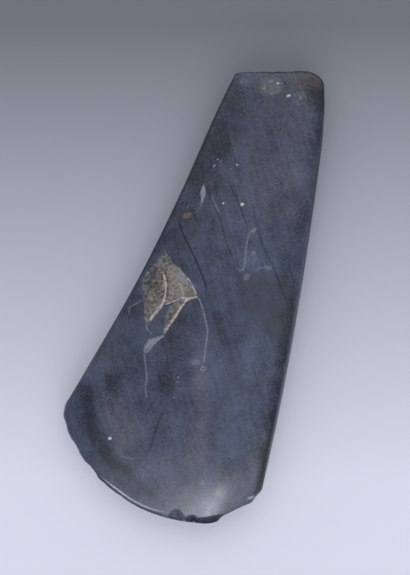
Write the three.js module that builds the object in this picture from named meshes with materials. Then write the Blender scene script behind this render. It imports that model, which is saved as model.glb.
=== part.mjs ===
// A long ground and polished axe head of dark jadeite, lying on its underside.
// Lengths are in millimetres. +Z is up, +Y runs from the cutting edge to the butt, +X is to the
// right seen from above, and the origin is on the ground under the middle of the blade's box.
//
// The blade is one closed skin: a grid laid over the outline, once for the upper face and once
// for the underside, and a narrow upright rim joins them round the sides, the butt and the edge.

import * as THREE from 'three';

// Driving sizes of the whole blade
const LENGTH = 200;
const WIDTH = 91.2;
const THICKNESS = 20;
const FLAT_SPOT_DEPTH = 0.45;

// Heights of the rim on each side of the middle plane
const LEFT_RIM = 2.4;
const RIGHT_RIM = 1.1;
const BUTT_RIM = 3.6;
const EDGE_RIM = 0.35;

// How each ground face rises from its border to the body of the blade
const LEFT_SLOPE = 0.5;
const RIGHT_ROUNDING = 8.5;
const BUTT_ROUNDING = 4.5;
const EDGE_BLUNTING = 1.2;
const EDGE_BLUNTING_RUN = 0.8;
const EDGE_BEVEL_SLOPE = 0.34;
const MERGE_SHARPNESS = 3.2;

// The body's half thickness falls off towards the butt and, gently, towards both sides
const THICKEST_AT_Y = -18;
const BUTT_THINNING = 0.3;
const CROWN = 0.16;

// Outline. Each side runs from the cutting edge to the butt, the edge and the butt from left to right.
const LEFT_CORNER = [-45.6, -67];
const RIGHT_CORNER = [45.6, -76];
const BUTT_LEFT_CORNER = [-19.6, 89.6];
const BUTT_LEFT_END = [-18, 90.6];
const BUTT_RIGHT_END = [9.5, 99.9];
const BUTT_RIGHT_CORNER = [18.4, 95];
const BUTT_CORNER_PULL = [17.3, 100.3];
const LEFT_SIDE = [LEFT_CORNER, [-41.6, -50], [-33, -10], [-26.8, 30], [-22.5, 70], BUTT_LEFT_CORNER];
const RIGHT_SIDE = [
  RIGHT_CORNER, [43.3, -50], [39.8, -20], [35.6, 10], [30.7, 40], [25.4, 70], [21.4, 86.5], BUTT_RIGHT_CORNER,
];
const CUTTING_EDGE = [
  LEFT_CORNER, [-44.7, -72.2], [-40.6, -78.2], [-31, -87], [-21, -93.4], [-5, -98.8], [9, -100],
  [22, -98.4], [31, -95.2], [41.8, -84.4], RIGHT_CORNER,
];

// Small bites along the cutting edge: where they are along it (0 to 1), how wide and how deep
const EDGE_CHIPS = [
  { at: 0.075, width: 6, depth: 0.5 },
  { at: 0.165, width: 7, depth: 0.5 },
  { at: 0.27, width: 9, depth: 0.9 },
  { at: 0.85, width: 8, depth: 0.5 },
  { at: 0.955, width: 7, depth: 0.6 },
];

// A snapped stretch of the cutting edge, where the upper face breaks off steeply
const SNAP = { from: 0.57, to: 0.77, run: 3.2, drop: 1.6 };

// Flake scars in the upper face: the outline of each hollow, its depth and how soon it gets there
const FLAKE_SCARS = [
  {
    outline: [
      [-24.8, 7.6], [-29.3, -3.7], [-28.6, -11], [-22, -27], [-19.6, -17.7], [-15.6, -11.4],
      [-5.6, -6], [-9.6, -1.9], [-16.2, 1.8],
    ],
    depth: 0.9,
    run: 3.5,
  },
  {
    outline: [[-18, -13.4], [-16, -18.7], [-14.6, -26], [-12.2, -16.2], [-5.8, -6.4], [-11, -8.6]],
    depth: 0.7,
    run: 2.5,
  },
];

// Grid
const ROWS = 54;
const COLUMNS = 38;
const ROW_GRADING = 0.72;
const COLUMN_GRADING = 0.35;

const MIDDLE_PLANE = THICKNESS / 2 - FLAT_SPOT_DEPTH / 2;
const HALF_BODY = THICKNESS / 2 + FLAT_SPOT_DEPTH / 2;

const JADEITE = new THREE.MeshStandardMaterial({ color: 0x454c5c, roughness: 0.32, metalness: 0 });

const vector = ([x, y]) => new THREE.Vector2(x, y);

// A smooth curve through the given points.
function smoothCurve(points) {
  return new THREE.SplineCurve(points.map(vector));
}

// The butt: a short turn from the left side, a straight end face, and a rounded right corner.
function buttCurve() {
  const path = new THREE.CurvePath();
  path.add(new THREE.LineCurve(vector(BUTT_LEFT_CORNER), vector(BUTT_LEFT_END)));
  path.add(new THREE.LineCurve(vector(BUTT_LEFT_END), vector(BUTT_RIGHT_END)));
  const corner = [BUTT_RIGHT_END, BUTT_CORNER_PULL, BUTT_RIGHT_CORNER].map(vector);
  path.add(new THREE.QuadraticBezierCurve(...corner));
  return path;
}

// The cutting edge with its chips bitten out of it.
function chippedEdge(curve) {
  const span = curve.getLength();
  return (u) => {
    const point = curve.getPointAt(u).clone();
    for (const chip of EDGE_CHIPS) {
      const away = ((u - chip.at) * span) / (chip.width / 2);
      if (Math.abs(away) < 1) {
        const inward = curve.getTangentAt(u).rotateAround(new THREE.Vector2(), Math.PI / 2);
        point.addScaledVector(inward, chip.depth * (1 - away * away));
      }
    }
    return point;
  };
}

// Grid lines between 0 and 1, closer together near both ends.
function gradedSteps(count, grading) {
  return Array.from({ length: count + 1 }, (_, i) => {
    const even = i / count;
    return even - (grading * Math.sin(2 * Math.PI * even)) / (2 * Math.PI);
  });
}

// The point at (u, v) of the patch that the four border curves hold between them.
function outlinePatch() {
  const left = smoothCurve(LEFT_SIDE);
  const right = smoothCurve(RIGHT_SIDE);
  const butt = buttCurve();
  const edge = chippedEdge(smoothCurve(CUTTING_EDGE));
  const corners = [LEFT_CORNER, RIGHT_CORNER, BUTT_LEFT_CORNER, BUTT_RIGHT_CORNER].map(vector);
  return (u, v) => {
    const point = new THREE.Vector2();
    point.addScaledVector(left.getPointAt(v), 1 - u);
    point.addScaledVector(right.getPointAt(v), u);
    point.addScaledVector(edge(u), 1 - v);
    point.addScaledVector(butt.getPointAt(u), v);
    const shares = [(1 - u) * (1 - v), u * (1 - v), (1 - u) * v, u * v];
    corners.forEach((corner, i) => point.addScaledVector(corner, -shares[i]));
    return point;
  };
}

// Height of a face that rises in a quarter round from its rim and then runs level.
function roundedRise(distance, radius, rim, top) {
  const share = 1 - Math.min(distance / radius, 1);
  return rim + (top - rim) * Math.sqrt(1 - share * share);
}

// Half the blade's thickness at a point, from its distances in to the four borders.
function halfThickness(point, inFrom) {
  const alongButt = Math.max(0, (point.y - THICKEST_AT_Y) / (LENGTH / 2 - THICKEST_AT_Y));
  const across = (inFrom.left - inFrom.right) / (inFrom.left + inFrom.right);
  const body = HALF_BODY * (1 - BUTT_THINNING * alongButt ** 2) * (1 - CROWN * across ** 2);
  const blunting = EDGE_BLUNTING * (1 - Math.exp(-inFrom.edge / EDGE_BLUNTING_RUN));
  const faces = [
    body,
    LEFT_RIM + LEFT_SLOPE * inFrom.left,
    roundedRise(inFrom.right, RIGHT_ROUNDING, RIGHT_RIM, body) + LEFT_SLOPE * inFrom.right,
    roundedRise(inFrom.butt, BUTT_ROUNDING, BUTT_RIM, body) + LEFT_SLOPE * inFrom.butt,
    EDGE_RIM + blunting + EDGE_BEVEL_SLOPE * inFrom.edge,
  ];
  const merged = faces.reduce((sum, height) => sum + height ** -MERGE_SHARPNESS, 0);
  return merged ** (-1 / MERGE_SHARPNESS);
}

// Distance from a point in to the nearest side of a closed outline, or 0 outside it.
function depthInside(point, outline) {
  let inside = false;
  let nearest = Infinity;
  outline.forEach((corner, i) => {
    const start = vector(corner);
    const side = vector(outline[(i + 1) % outline.length]).sub(start);
    const offset = point.clone().sub(start);
    const crossesLevel = offset.y < 0 !== offset.y < side.y;
    if (crossesLevel && offset.x < (side.x * offset.y) / side.y) {
      inside = !inside;
    }
    const share = THREE.MathUtils.clamp(offset.dot(side) / side.lengthSq(), 0, 1);
    nearest = Math.min(nearest, offset.distanceTo(side.multiplyScalar(share)));
  });
  return inside ? nearest : 0;
}

// How far breaks and flake scars lower the upper face at a point.
function breakDepth(point, u, edgeDistance) {
  let depth = 0;
  for (const scar of FLAKE_SCARS) {
    const share = THREE.MathUtils.smoothstep(depthInside(point, scar.outline), 0, scar.run);
    depth = Math.max(depth, scar.depth * share);
  }
  const alongSnap = (u - SNAP.from) / (SNAP.to - SNAP.from);
  if (alongSnap > 0 && alongSnap < 1 && edgeDistance < SNAP.run) {
    depth += SNAP.drop * Math.sin(Math.PI * alongSnap) * (1 - edgeDistance / SNAP.run);
  }
  return depth;
}

// The grid of points seen from above, fitted to the driving length and width.
function plan() {
  const patch = outlinePatch();
  const us = gradedSteps(COLUMNS, COLUMN_GRADING);
  const vs = gradedSteps(ROWS, ROW_GRADING);
  const points = vs.map((v) => us.map((u) => patch(u, v)));
  const box = new THREE.Box2().setFromPoints(points.flat());
  const centre = box.getCenter(new THREE.Vector2());
  const fit = new THREE.Vector2(WIDTH, LENGTH).divide(box.getSize(new THREE.Vector2()));
  points.flat().forEach((point) => point.sub(centre).multiply(fit));
  return { points, us };
}

// Distances from each grid point in to the four borders, measured along its grid lines.
function distancesIn(points, row, column) {
  const line = points[row];
  const through = points.map((other) => other[column]);
  const run = (list, from, to) => {
    let sum = 0;
    for (let i = from; i < to; i += 1) {
      sum += list[i].distanceTo(list[i + 1]);
    }
    return sum;
  };
  return {
    left: run(line, 0, column),
    right: run(line, column, COLUMNS),
    edge: run(through, 0, row),
    butt: run(through, row, ROWS),
  };
}

// The upper and lower skins as grids of 3-D points.
function skins() {
  const { points, us } = plan();
  const upper = [];
  const lower = [];
  for (let row = 0; row <= ROWS; row += 1) {
    upper.push([]);
    lower.push([]);
    for (let column = 0; column <= COLUMNS; column += 1) {
      const point = points[row][column];
      const inFrom = distancesIn(points, row, column);
      const half = halfThickness(point, inFrom);
      const broken = Math.min(breakDepth(point, us[column], inFrom.edge), half);
      upper[row].push(new THREE.Vector3(point.x, point.y, half - broken));
      lower[row].push(new THREE.Vector3(point.x, point.y, -half));
    }
  }
  const highest = Math.max(...upper.flat().map((point) => point.z));
  const stretch = HALF_BODY / highest;
  upper.flat().forEach((point) => {
    point.z = MIDDLE_PLANE + point.z * stretch;
  });
  lower.flat().forEach((point) => {
    point.z = Math.max(0, MIDDLE_PLANE + point.z * stretch);
  });
  return { upper, lower };
}

// Grid positions round the border, anticlockwise seen from above.
function borderPlaces() {
  const count = (length) => Array.from({ length }, (_, i) => i);
  return [
    ...count(COLUMNS).map((column) => [0, column]),
    ...count(ROWS).map((row) => [row, COLUMNS]),
    ...count(COLUMNS).map((column) => [ROWS, COLUMNS - column]),
    ...count(ROWS).map((row) => [ROWS - row, 0]),
  ];
}

// Collects the points and triangles of one closed skin.
class Skin {
  positions = [];
  triangles = [];

  addPoint(point) {
    this.positions.push(point.x, point.y, point.z);
    return this.positions.length / 3 - 1;
  }

  addQuad(a, b, c, d) {
    this.triangles.push(a, b, c, a, c, d);
  }

  // Adds a grid of points, and its faces turned up or down, and returns the points' numbers.
  addGrid(grid, facesUp) {
    const numbers = grid.map((line) => line.map((point) => this.addPoint(point)));
    for (let row = 0; row < ROWS; row += 1) {
      for (let column = 0; column < COLUMNS; column += 1) {
        const a = numbers[row][column];
        const b = numbers[row][column + 1];
        const c = numbers[row + 1][column + 1];
        const d = numbers[row + 1][column];
        if (facesUp) {
          this.addQuad(a, b, c, d);
        } else {
          this.addQuad(c, b, a, d);
        }
      }
    }
    return numbers;
  }

  // Adds the band of faces between two closed loops of point numbers, the lower one first.
  addBand(low, high) {
    low.forEach((_, i) => {
      const next = (i + 1) % low.length;
      this.addQuad(low[i], low[next], high[next], high[i]);
    });
  }

  toGeometry() {
    const geometry = new THREE.BufferGeometry();
    geometry.setAttribute('position', new THREE.Float32BufferAttribute(this.positions, 3));
    geometry.setIndex(this.triangles);
    geometry.computeVertexNormals();
    return geometry;
  }
}

// The closed skin of the axe head: two grids and the rim between them.
function axeHeadGeometry() {
  const { upper, lower } = skins();
  const border = borderPlaces();
  const skin = new Skin();
  const upperNumbers = skin.addGrid(upper, true);
  const lowerNumbers = skin.addGrid(lower, false);
  const low = border.map(([row, column]) => lowerNumbers[row][column]);
  const high = border.map(([row, column]) => upperNumbers[row][column]);
  skin.addBand(low, high);
  return skin.toGeometry();
}

const axeHead = new THREE.Mesh(axeHeadGeometry(), JADEITE);
axeHead.name = 'axe_head';

const part = new THREE.Group();
part.add(axeHead);

export default part;
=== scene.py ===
"""A long ground and polished axe head of dark jadeite, lying on its underside on a pale floor.

Sizes in the classes are millimetres in the CAD frame: +Z is up, +Y runs from the cutting edge to
the butt, +X is to the right seen from above. Meshes are written in metres.
"""

import logging
import math
from dataclasses import dataclass, field
from enum import Enum

import bpy
import numpy as np
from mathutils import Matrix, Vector

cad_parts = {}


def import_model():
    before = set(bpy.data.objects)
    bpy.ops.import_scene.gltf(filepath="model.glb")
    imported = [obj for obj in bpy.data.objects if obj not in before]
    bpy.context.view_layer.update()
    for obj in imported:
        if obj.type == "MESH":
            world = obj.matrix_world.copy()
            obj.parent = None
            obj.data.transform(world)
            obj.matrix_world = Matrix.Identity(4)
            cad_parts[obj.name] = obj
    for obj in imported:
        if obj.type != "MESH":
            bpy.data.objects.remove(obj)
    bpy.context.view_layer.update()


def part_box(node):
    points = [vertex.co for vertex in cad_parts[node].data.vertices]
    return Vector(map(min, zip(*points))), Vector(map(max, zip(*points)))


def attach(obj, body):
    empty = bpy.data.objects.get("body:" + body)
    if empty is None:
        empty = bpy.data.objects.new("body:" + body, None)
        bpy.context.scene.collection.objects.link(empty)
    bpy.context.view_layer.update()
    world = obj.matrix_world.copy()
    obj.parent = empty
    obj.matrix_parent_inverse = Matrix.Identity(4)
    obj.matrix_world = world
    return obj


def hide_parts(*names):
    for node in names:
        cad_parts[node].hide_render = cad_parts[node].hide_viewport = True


LOG = logging.getLogger("axe_head")
METRES = 0.001

Point = tuple[float, float]
Points = tuple[Point, ...]
# Where grid lines crowd: each crowd's start and end, and the extra density in it
Crowds = tuple[tuple[float, float, float], ...]


class Mark(Enum):
    """What a line or a patch on the stone is. The value is the attribute that the finish reads."""

    # The vein and spot marks also draw a painted highlight line along the cutting edge, the break mark a
    # painted dark band of shade under it, and the shade mark holds painted shade as well as the stone's own
    # tone
    VEIN_AND_GLINT = "vein"
    CRACK = "crack"
    RIDGE = "ridge"
    FRACTURE = "fracture"
    SHADE = "shade"
    WARM = "warm"
    OLIVE = "olive"
    OCHRE = "ochre"
    RUST = "rust"
    SPOT = "spot"
    BLUE = "blue"
    BREAK_AND_EDGE_SHADE = "break"


def linear(code: str) -> tuple[float, float, float, float]:
    """Turns an sRGB hex colour into linear light.

    Args:
        code: the colour as six hex digits.

    Returns:
        Linear red, green, blue and an alpha of one.
    """
    parts = [int(code[start:start + 2], 16) / 255 for start in (0, 2, 4)]
    red, green, blue = [
        part / 12.92 if part <= 0.04045 else ((part + 0.055) / 1.055) ** 2.4 for part in parts
    ]
    return red, green, blue, 1.0


def add_node(
    tree: bpy.types.NodeTree,
    kind: str,
    inputs: dict[str | int, object] | None = None,
    **settings: object,
) -> bpy.types.Node:
    """Adds a node with its settings, values and links.

    Args:
        tree: the node tree that it goes into.
        kind: the node's type.
        inputs: for an input, by name or number, a value or the output that feeds it.
        **settings: the node's own settings, such as its operation.

    Returns:
        The new node.
    """
    node = tree.nodes.new(kind)
    for name, setting in settings.items():
        setattr(node, name, setting)
    for key, given in (inputs or {}).items():
        if isinstance(given, bpy.types.NodeSocket):
            tree.links.new(given, node.inputs[key])
        else:
            node.inputs[key].default_value = given
    return node


def smoothstep(values: np.ndarray, low: float, high: float) -> np.ndarray:
    """Rises smoothly from 0 at low to 1 at high.

    Args:
        values: the numbers to map.
        low: where the rise starts.
        high: where it ends.

    Returns:
        Numbers from 0 to 1.
    """
    share = np.clip((values - low) / (high - low), 0.0, 1.0)
    return share * share * (3.0 - 2.0 * share)


def smooth_curve(points: Points, count: int = 1200) -> np.ndarray:
    """A smooth curve through points, the end points doubled, evenly spaced along its length.

    Args:
        points: what it passes through.
        count: how many points it is given.

    Returns:
        An array of count rows of x and y.
    """
    knots = np.array(points, float)
    last = len(knots) - 1
    along = np.linspace(0.0, last, count)
    index = np.minimum(along.astype(int), last - 1)
    share = (along - index)[:, None]
    before, start = knots[np.maximum(index - 1, 0)], knots[index]
    end, after = knots[index + 1], knots[np.minimum(index + 2, last)]
    slope_in = (end - before) / 2
    slope_out = (after - start) / 2
    cubic = (2 * start - 2 * end + slope_in + slope_out) * share**3
    square = (-3 * start + 3 * end - 2 * slope_in - slope_out) * share**2
    return even_spacing(cubic + square + slope_in * share + start, count)


def even_spacing(path: np.ndarray, count: int) -> np.ndarray:
    """Spaces a path's points evenly along its length.

    Args:
        path: rows of x and y.
        count: how many points are wanted.

    Returns:
        An array of count rows.
    """
    steps = np.linalg.norm(np.diff(path, axis=0), axis=1)
    length = np.concatenate([[0.0], np.cumsum(steps)])
    wanted = np.linspace(0.0, length[-1], count)
    return np.stack([np.interp(wanted, length, path[:, axis]) for axis in (0, 1)], axis=1)


def nearest_on_path(spots: np.ndarray, path: np.ndarray) -> tuple[np.ndarray, np.ndarray, np.ndarray]:
    """Finds the nearest place on a path for each of many spots.

    Args:
        spots: rows of x and y.
        path: rows of x and y along the path.

    Returns:
        The distance, the side (1 to the left of the way the path runs, -1 to the right), and how
        far along the path it is, from 0 to 1.
    """
    best = np.full(len(spots), np.inf)
    side = np.ones(len(spots))
    along = np.zeros(len(spots))
    count = len(path) - 1
    for number in range(count):
        start, step = path[number], path[number + 1] - path[number]
        offset = spots - start
        share = np.clip(offset @ step / max(step @ step, 1e-12), 0.0, 1.0)
        away = np.linalg.norm(offset - share[:, None] * step, axis=1)
        nearer = away < best
        best[nearer] = away[nearer]
        across = step[0] * offset[:, 1] - step[1] * offset[:, 0]
        side[nearer] = np.where(across[nearer] >= 0, 1.0, -1.0)
        along[nearer] = (number + share[nearer]) / count
    return best, side, along


def depth_inside(spots: np.ndarray, outline: np.ndarray) -> np.ndarray:
    """Signed distance to a closed outline, positive inside it.

    Args:
        spots: rows of x and y.
        outline: the outline's corners in order.

    Returns:
        One distance for each spot.
    """
    closed = np.vstack([outline, outline[:1]])
    distance, _, _ = nearest_on_path(spots, closed)
    inside = np.zeros(len(spots), bool)
    for start, end in zip(closed[:-1], closed[1:]):
        crosses = (start[1] > spots[:, 1]) != (end[1] > spots[:, 1])
        rise = end[1] - start[1] if end[1] != start[1] else 1e-9
        level = (end[0] - start[0]) * (spots[:, 1] - start[1]) / rise + start[0]
        inside ^= crosses & (spots[:, 0] < level)
    return np.where(inside, distance, -distance)


@dataclass(frozen=True)
class Trace:
    """A line on the upper face, such as a vein, a crack, the crest between two flake scars, or the painted
    highlight line and painted band of shade along the cutting edge.

    Args:
        mark: what it is.
        points: what it passes through, from one end to the other.
        reach: half its width at the surface.
        strength: how plainly it shows, from 0 to 1.
        groove: how deep it is cut, or how high it stands where negative.
        step: how much lighter the stone is to the left of it than to the right.
        step_reach: how far that difference carries.
        fade: the share of its length over which each end fades out.
        skirt: how far it trails off faintly to the right of it.
    """

    mark: Mark
    points: Points
    reach: float = 0.6
    strength: float = 1.0
    groove: float = 0.0
    step: float = 0.0
    step_reach: float = 5.0
    fade: float = 0.08
    skirt: float = 0.0

    def draw(self, stone: "MarkedSurface") -> None:
        """Adds the line to the surface's marks and heights.

        Args:
            stone: the surface that it is drawn on.
        """
        path = smooth_curve(self.points, 10 * len(self.points))
        near = stone.near(path, self.reach + 3 * self.step_reach * (self.step != 0) + 2 * self.skirt)
        away, side, along = nearest_on_path(stone.plan[near], path)
        ends = smoothstep(along, 0.0, self.fade) * smoothstep(1.0 - along, 0.0, self.fade)
        tent = np.clip(1.0 - away / self.reach, 0.0, 1.0)
        stone.raise_mark(self.mark, near, tent * self.strength * (0.25 + 0.75 * ends))
        stone.lower[near] += self.groove * ends * tent * tent * (3.0 - 2.0 * tent)
        if self.skirt:
            trail = (side < 0) * np.exp(-away / self.skirt) * smoothstep(ends, 0.0, 1.0)
            stone.raise_mark(self.mark, near, 0.7 * self.strength * trail)
        if self.step:
            lean = side * np.exp(-away / self.step_reach) * ends
            stone.marks[Mark.SHADE][near] += self.step * lean


@dataclass(frozen=True)
class Patch:
    """A patch of another colour or tone on the upper face; some shade patches are painted shade.

    Args:
        mark: what it is.
        outline: its corners in order.
        blur: half the width of its soft border.
        strength: how plainly it shows; a shade may be negative, which darkens.
    """

    mark: Mark
    outline: Points
    blur: float = 1.0
    strength: float = 1.0

    def draw(self, stone: "MarkedSurface") -> None:
        """Adds the patch to the surface's marks.

        Args:
            stone: the surface that it is drawn on.
        """
        outline = smooth_curve(self.outline + self.outline[:1], 8 * len(self.outline))
        near = stone.near(outline, 2 * self.blur)
        inside = smoothstep(depth_inside(stone.plan[near], outline), -self.blur, self.blur)
        if self.mark in (Mark.SHADE, Mark.WARM):
            stone.marks[self.mark][near] += self.strength * inside
        else:
            stone.raise_mark(self.mark, near, self.strength * inside)


@dataclass(frozen=True)
class Spot:
    """A small spot on the upper face.

    Args:
        mark: what it is.
        at: its centre.
        size: its half width, along and across.
        turn: how far its long way is turned from +X, in degrees.
        strength: how plainly it shows.
        pit: how deep it is sunk.
    """

    mark: Mark
    at: Point
    size: tuple[float, float] = (0.8, 0.8)
    turn: float = 0.0
    strength: float = 1.0
    pit: float = 0.0

    def draw(self, stone: "MarkedSurface") -> None:
        """Adds the spot to the surface's marks and heights.

        Args:
            stone: the surface that it is drawn on.
        """
        offset = stone.plan - np.array(self.at)
        cosine, sine = math.cos(math.radians(self.turn)), math.sin(math.radians(self.turn))
        along = (offset[:, 0] * cosine + offset[:, 1] * sine) / self.size[0]
        across = (offset[:, 1] * cosine - offset[:, 0] * sine) / self.size[1]
        away = np.sqrt(along**2 + across**2)
        near = np.flatnonzero(away < 1.6)
        shape = smoothstep(1.6 - away[near], 0.0, 1.0)
        if self.mark in (Mark.SHADE, Mark.WARM):
            stone.marks[self.mark][near] += self.strength * shape
        else:
            stone.raise_mark(self.mark, near, self.strength * shape)
        stone.lower[near] += self.pit * shape


@dataclass(frozen=True)
class FlakeScar:
    """A hollow left by a flake struck off the upper face.

    Args:
        outline: its border in order.
        depth: how deep its middle is.
        run: how far in from the border that depth is reached.
        lip: the small sharp step at its border.
        strength: how rough and pale its floor is.
    """

    outline: Points
    depth: float
    run: float
    lip: float = 0.08
    strength: float = 1.0

    def draw(self, stone: "MarkedSurface") -> None:
        """Sinks the hollow and marks its rough floor.

        Args:
            stone: the surface that it is cut into.
        """
        outline = np.array(self.outline, float)
        near = stone.near(outline, 2.0)
        inside = depth_inside(stone.plan[near], outline)
        bowl = self.depth * np.sqrt(smoothstep(inside, 0.0, self.run))
        sunk = bowl + self.lip * smoothstep(inside, -0.2, 0.25)
        stone.lower[near] = np.maximum(stone.lower[near], sunk)
        stone.raise_mark(Mark.FRACTURE, near, self.strength * np.clip(0.5 + inside / 2.4, 0.0, 1.0))


class MarkedSurface:
    """The upper face seen from above, with how far it is lowered and what marks it at each point."""

    def __init__(self, plan: np.ndarray) -> None:
        """Starts with an unmarked face.

        Args:
            plan: rows of x and y, one for each point.
        """
        self.plan = plan
        self.lower = np.zeros(len(plan))
        self.marks = {mark: np.zeros(len(plan)) for mark in Mark}

    def near(self, outline: np.ndarray, margin: float) -> np.ndarray:
        """Finds the points in or close to a path's box.

        Args:
            outline: rows of x and y.
            margin: how far outside the box still counts.

        Returns:
            The points' numbers.
        """
        low, high = outline.min(axis=0) - margin, outline.max(axis=0) + margin
        return np.flatnonzero(np.all((self.plan > low) & (self.plan < high), axis=1))

    def raise_mark(self, mark: Mark, near: np.ndarray, amount: np.ndarray) -> None:
        """Raises a mark to an amount where it isn't that strong yet.

        Args:
            mark: what to raise.
            near: the points' numbers.
            amount: how strong it should at least be at each of them.
        """
        self.marks[mark][near] = np.maximum(self.marks[mark][near], amount)


@dataclass
class BladePlan:
    """The blade's outline and the grid of points that fills it, seen from above.

    The four border curves run from the cutting edge to the butt and from left to right, and the
    patch between them is fitted to the CAD box. Grid lines crowd where the stone is broken.
    """

    left_corner: Point = (-45.6, -67.0)
    right_corner: Point = (45.6, -76.0)
    butt_left_corner: Point = (-19.6, 89.6)
    butt_right_corner: Point = (18.4, 95.0)
    butt_left_end: Point = (-18.0, 90.6)
    butt_right_end: Point = (9.5, 99.9)
    butt_corner_pull: Point = (17.3, 100.3)
    butt_nicks: Points = (
        (-14.0, 92.1), (-12.0, 92.5), (-9.0, 93.8), (-4.5, 95.0), (-3.0, 95.8), (2.5, 97.4), (4.5, 98.4),
    )
    left_side: Points = ((-41.6, -50.0), (-33.0, -10.0), (-26.8, 30.0), (-22.5, 70.0))
    right_side: Points = (
        (43.3, -50.0), (39.8, -20.0), (35.6, 10.0), (30.7, 40.0), (25.4, 70.0), (21.4, 86.5),
    )
    cutting_edge: Points = (
        (-44.7, -72.2), (-40.6, -78.2), (-31.0, -87.0), (-21.0, -93.4), (-5.0, -98.8),
        (9.0, -100.0), (22.0, -98.4), (31.0, -95.2), (41.8, -84.4),
    )
    columns: int = 188
    rows: int = 372
    crowded_columns: Crowds = (
        (0.02, 0.55, 0.75), (0.55, 0.82, 0.25), (-0.1, 0.02, 1.2), (0.98, 1.1, 1.2),
    )
    crowded_rows: Crowds = ((0.2, 0.56, 0.85), (-0.1, 0.035, 2.2), (0.965, 1.1, 0.9))
    points: np.ndarray = field(init=False)
    across: np.ndarray = field(init=False)

    def __post_init__(self) -> None:
        """Makes the grid of points and fits it to the CAD box."""
        self.across = self.grid_lines(self.columns, self.crowded_columns)
        along = self.grid_lines(self.rows, self.crowded_rows)
        left = self.at(self.side(self.left_corner, self.left_side, self.butt_left_corner), along)
        right = self.at(self.side(self.right_corner, self.right_side, self.butt_right_corner), along)
        edge = self.at(self.side(self.left_corner, self.cutting_edge, self.right_corner), self.across)
        butt = self.at(self.butt_end(), self.across)
        u, v = self.across[None, :, None], along[:, None, None]
        grid = left[:, None] * (1 - u) + right[:, None] * u + edge[None] * (1 - v) + butt[None] * v
        corners = (self.left_corner, self.right_corner, self.butt_left_corner, self.butt_right_corner)
        shares = ((1 - u) * (1 - v), u * (1 - v), (1 - u) * v, u * v)
        for corner, share in zip(corners, shares):
            grid = grid - share * np.array(corner)
        low, high = [np.array(corner[:2]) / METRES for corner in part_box("axe_head")]
        size = grid.max(axis=(0, 1)) - grid.min(axis=(0, 1))
        self.points = (grid - grid.min(axis=(0, 1))) * (high - low) / size + low

    def side(self, start: Point, points: Points, end: Point) -> np.ndarray:
        """A smooth border curve from one corner to the next."""
        return smooth_curve((start, *points, end))

    def butt_end(self) -> np.ndarray:
        """Draws the butt: a short turn from the left side, an end face and a rounded corner.

        Returns:
            Evenly spaced points, from left to right.
        """
        corner_points = (self.butt_right_end, self.butt_corner_pull, self.butt_right_corner)
        start, pull, end = [np.array(point) for point in corner_points]
        share = np.linspace(0.0, 1.0, 200)[:, None]
        corner = start * (1 - share) ** 2 + 2 * pull * share * (1 - share) + end * share**2
        straight = np.array([self.butt_left_corner, self.butt_left_end, *self.butt_nicks])
        return even_spacing(np.vstack([straight, corner]), 1200)

    def at(self, curve: np.ndarray, places: np.ndarray) -> np.ndarray:
        """The points of an evenly spaced curve at places from 0 to 1."""
        even = np.linspace(0.0, 1.0, len(curve))
        return np.stack([np.interp(places, even, curve[:, axis]) for axis in (0, 1)], axis=1)

    def grid_lines(self, count: int, crowds: Crowds) -> np.ndarray:
        """Places grid lines between 0 and 1, closer together where they crowd.

        Args:
            count: how many gaps there are between lines.
            crowds: for each crowd where it starts and ends, and the extra density in it.

        Returns:
            The lines' places, from 0 to 1.
        """
        fine = np.linspace(0.0, 1.0, 4001)
        density = np.ones_like(fine)
        for start, end, extra in crowds:
            rise = smoothstep(fine, start - 0.015, start + 0.015)
            density += extra * rise * (1.0 - smoothstep(fine, end - 0.015, end + 0.015))
        total = np.concatenate([[0.0], np.cumsum((density[1:] + density[:-1]) / 2)])
        return np.interp(np.linspace(0.0, total[-1], count + 1), total, fine)

    def distances_in(self) -> dict[str, np.ndarray]:
        """Distances from every point in to the four borders, measured along its grid lines.

        Returns:
            Arrays named left, right, edge and butt.
        """
        across = np.linalg.norm(np.diff(self.points, axis=1), axis=2)
        along = np.linalg.norm(np.diff(self.points, axis=0), axis=2)
        left = np.pad(np.cumsum(across, axis=1), ((0, 0), (1, 0)))
        edge = np.pad(np.cumsum(along, axis=0), ((1, 0), (0, 0)))
        return {"left": left, "right": left[:, -1:] - left, "edge": edge, "butt": edge[-1:] - edge}


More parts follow.
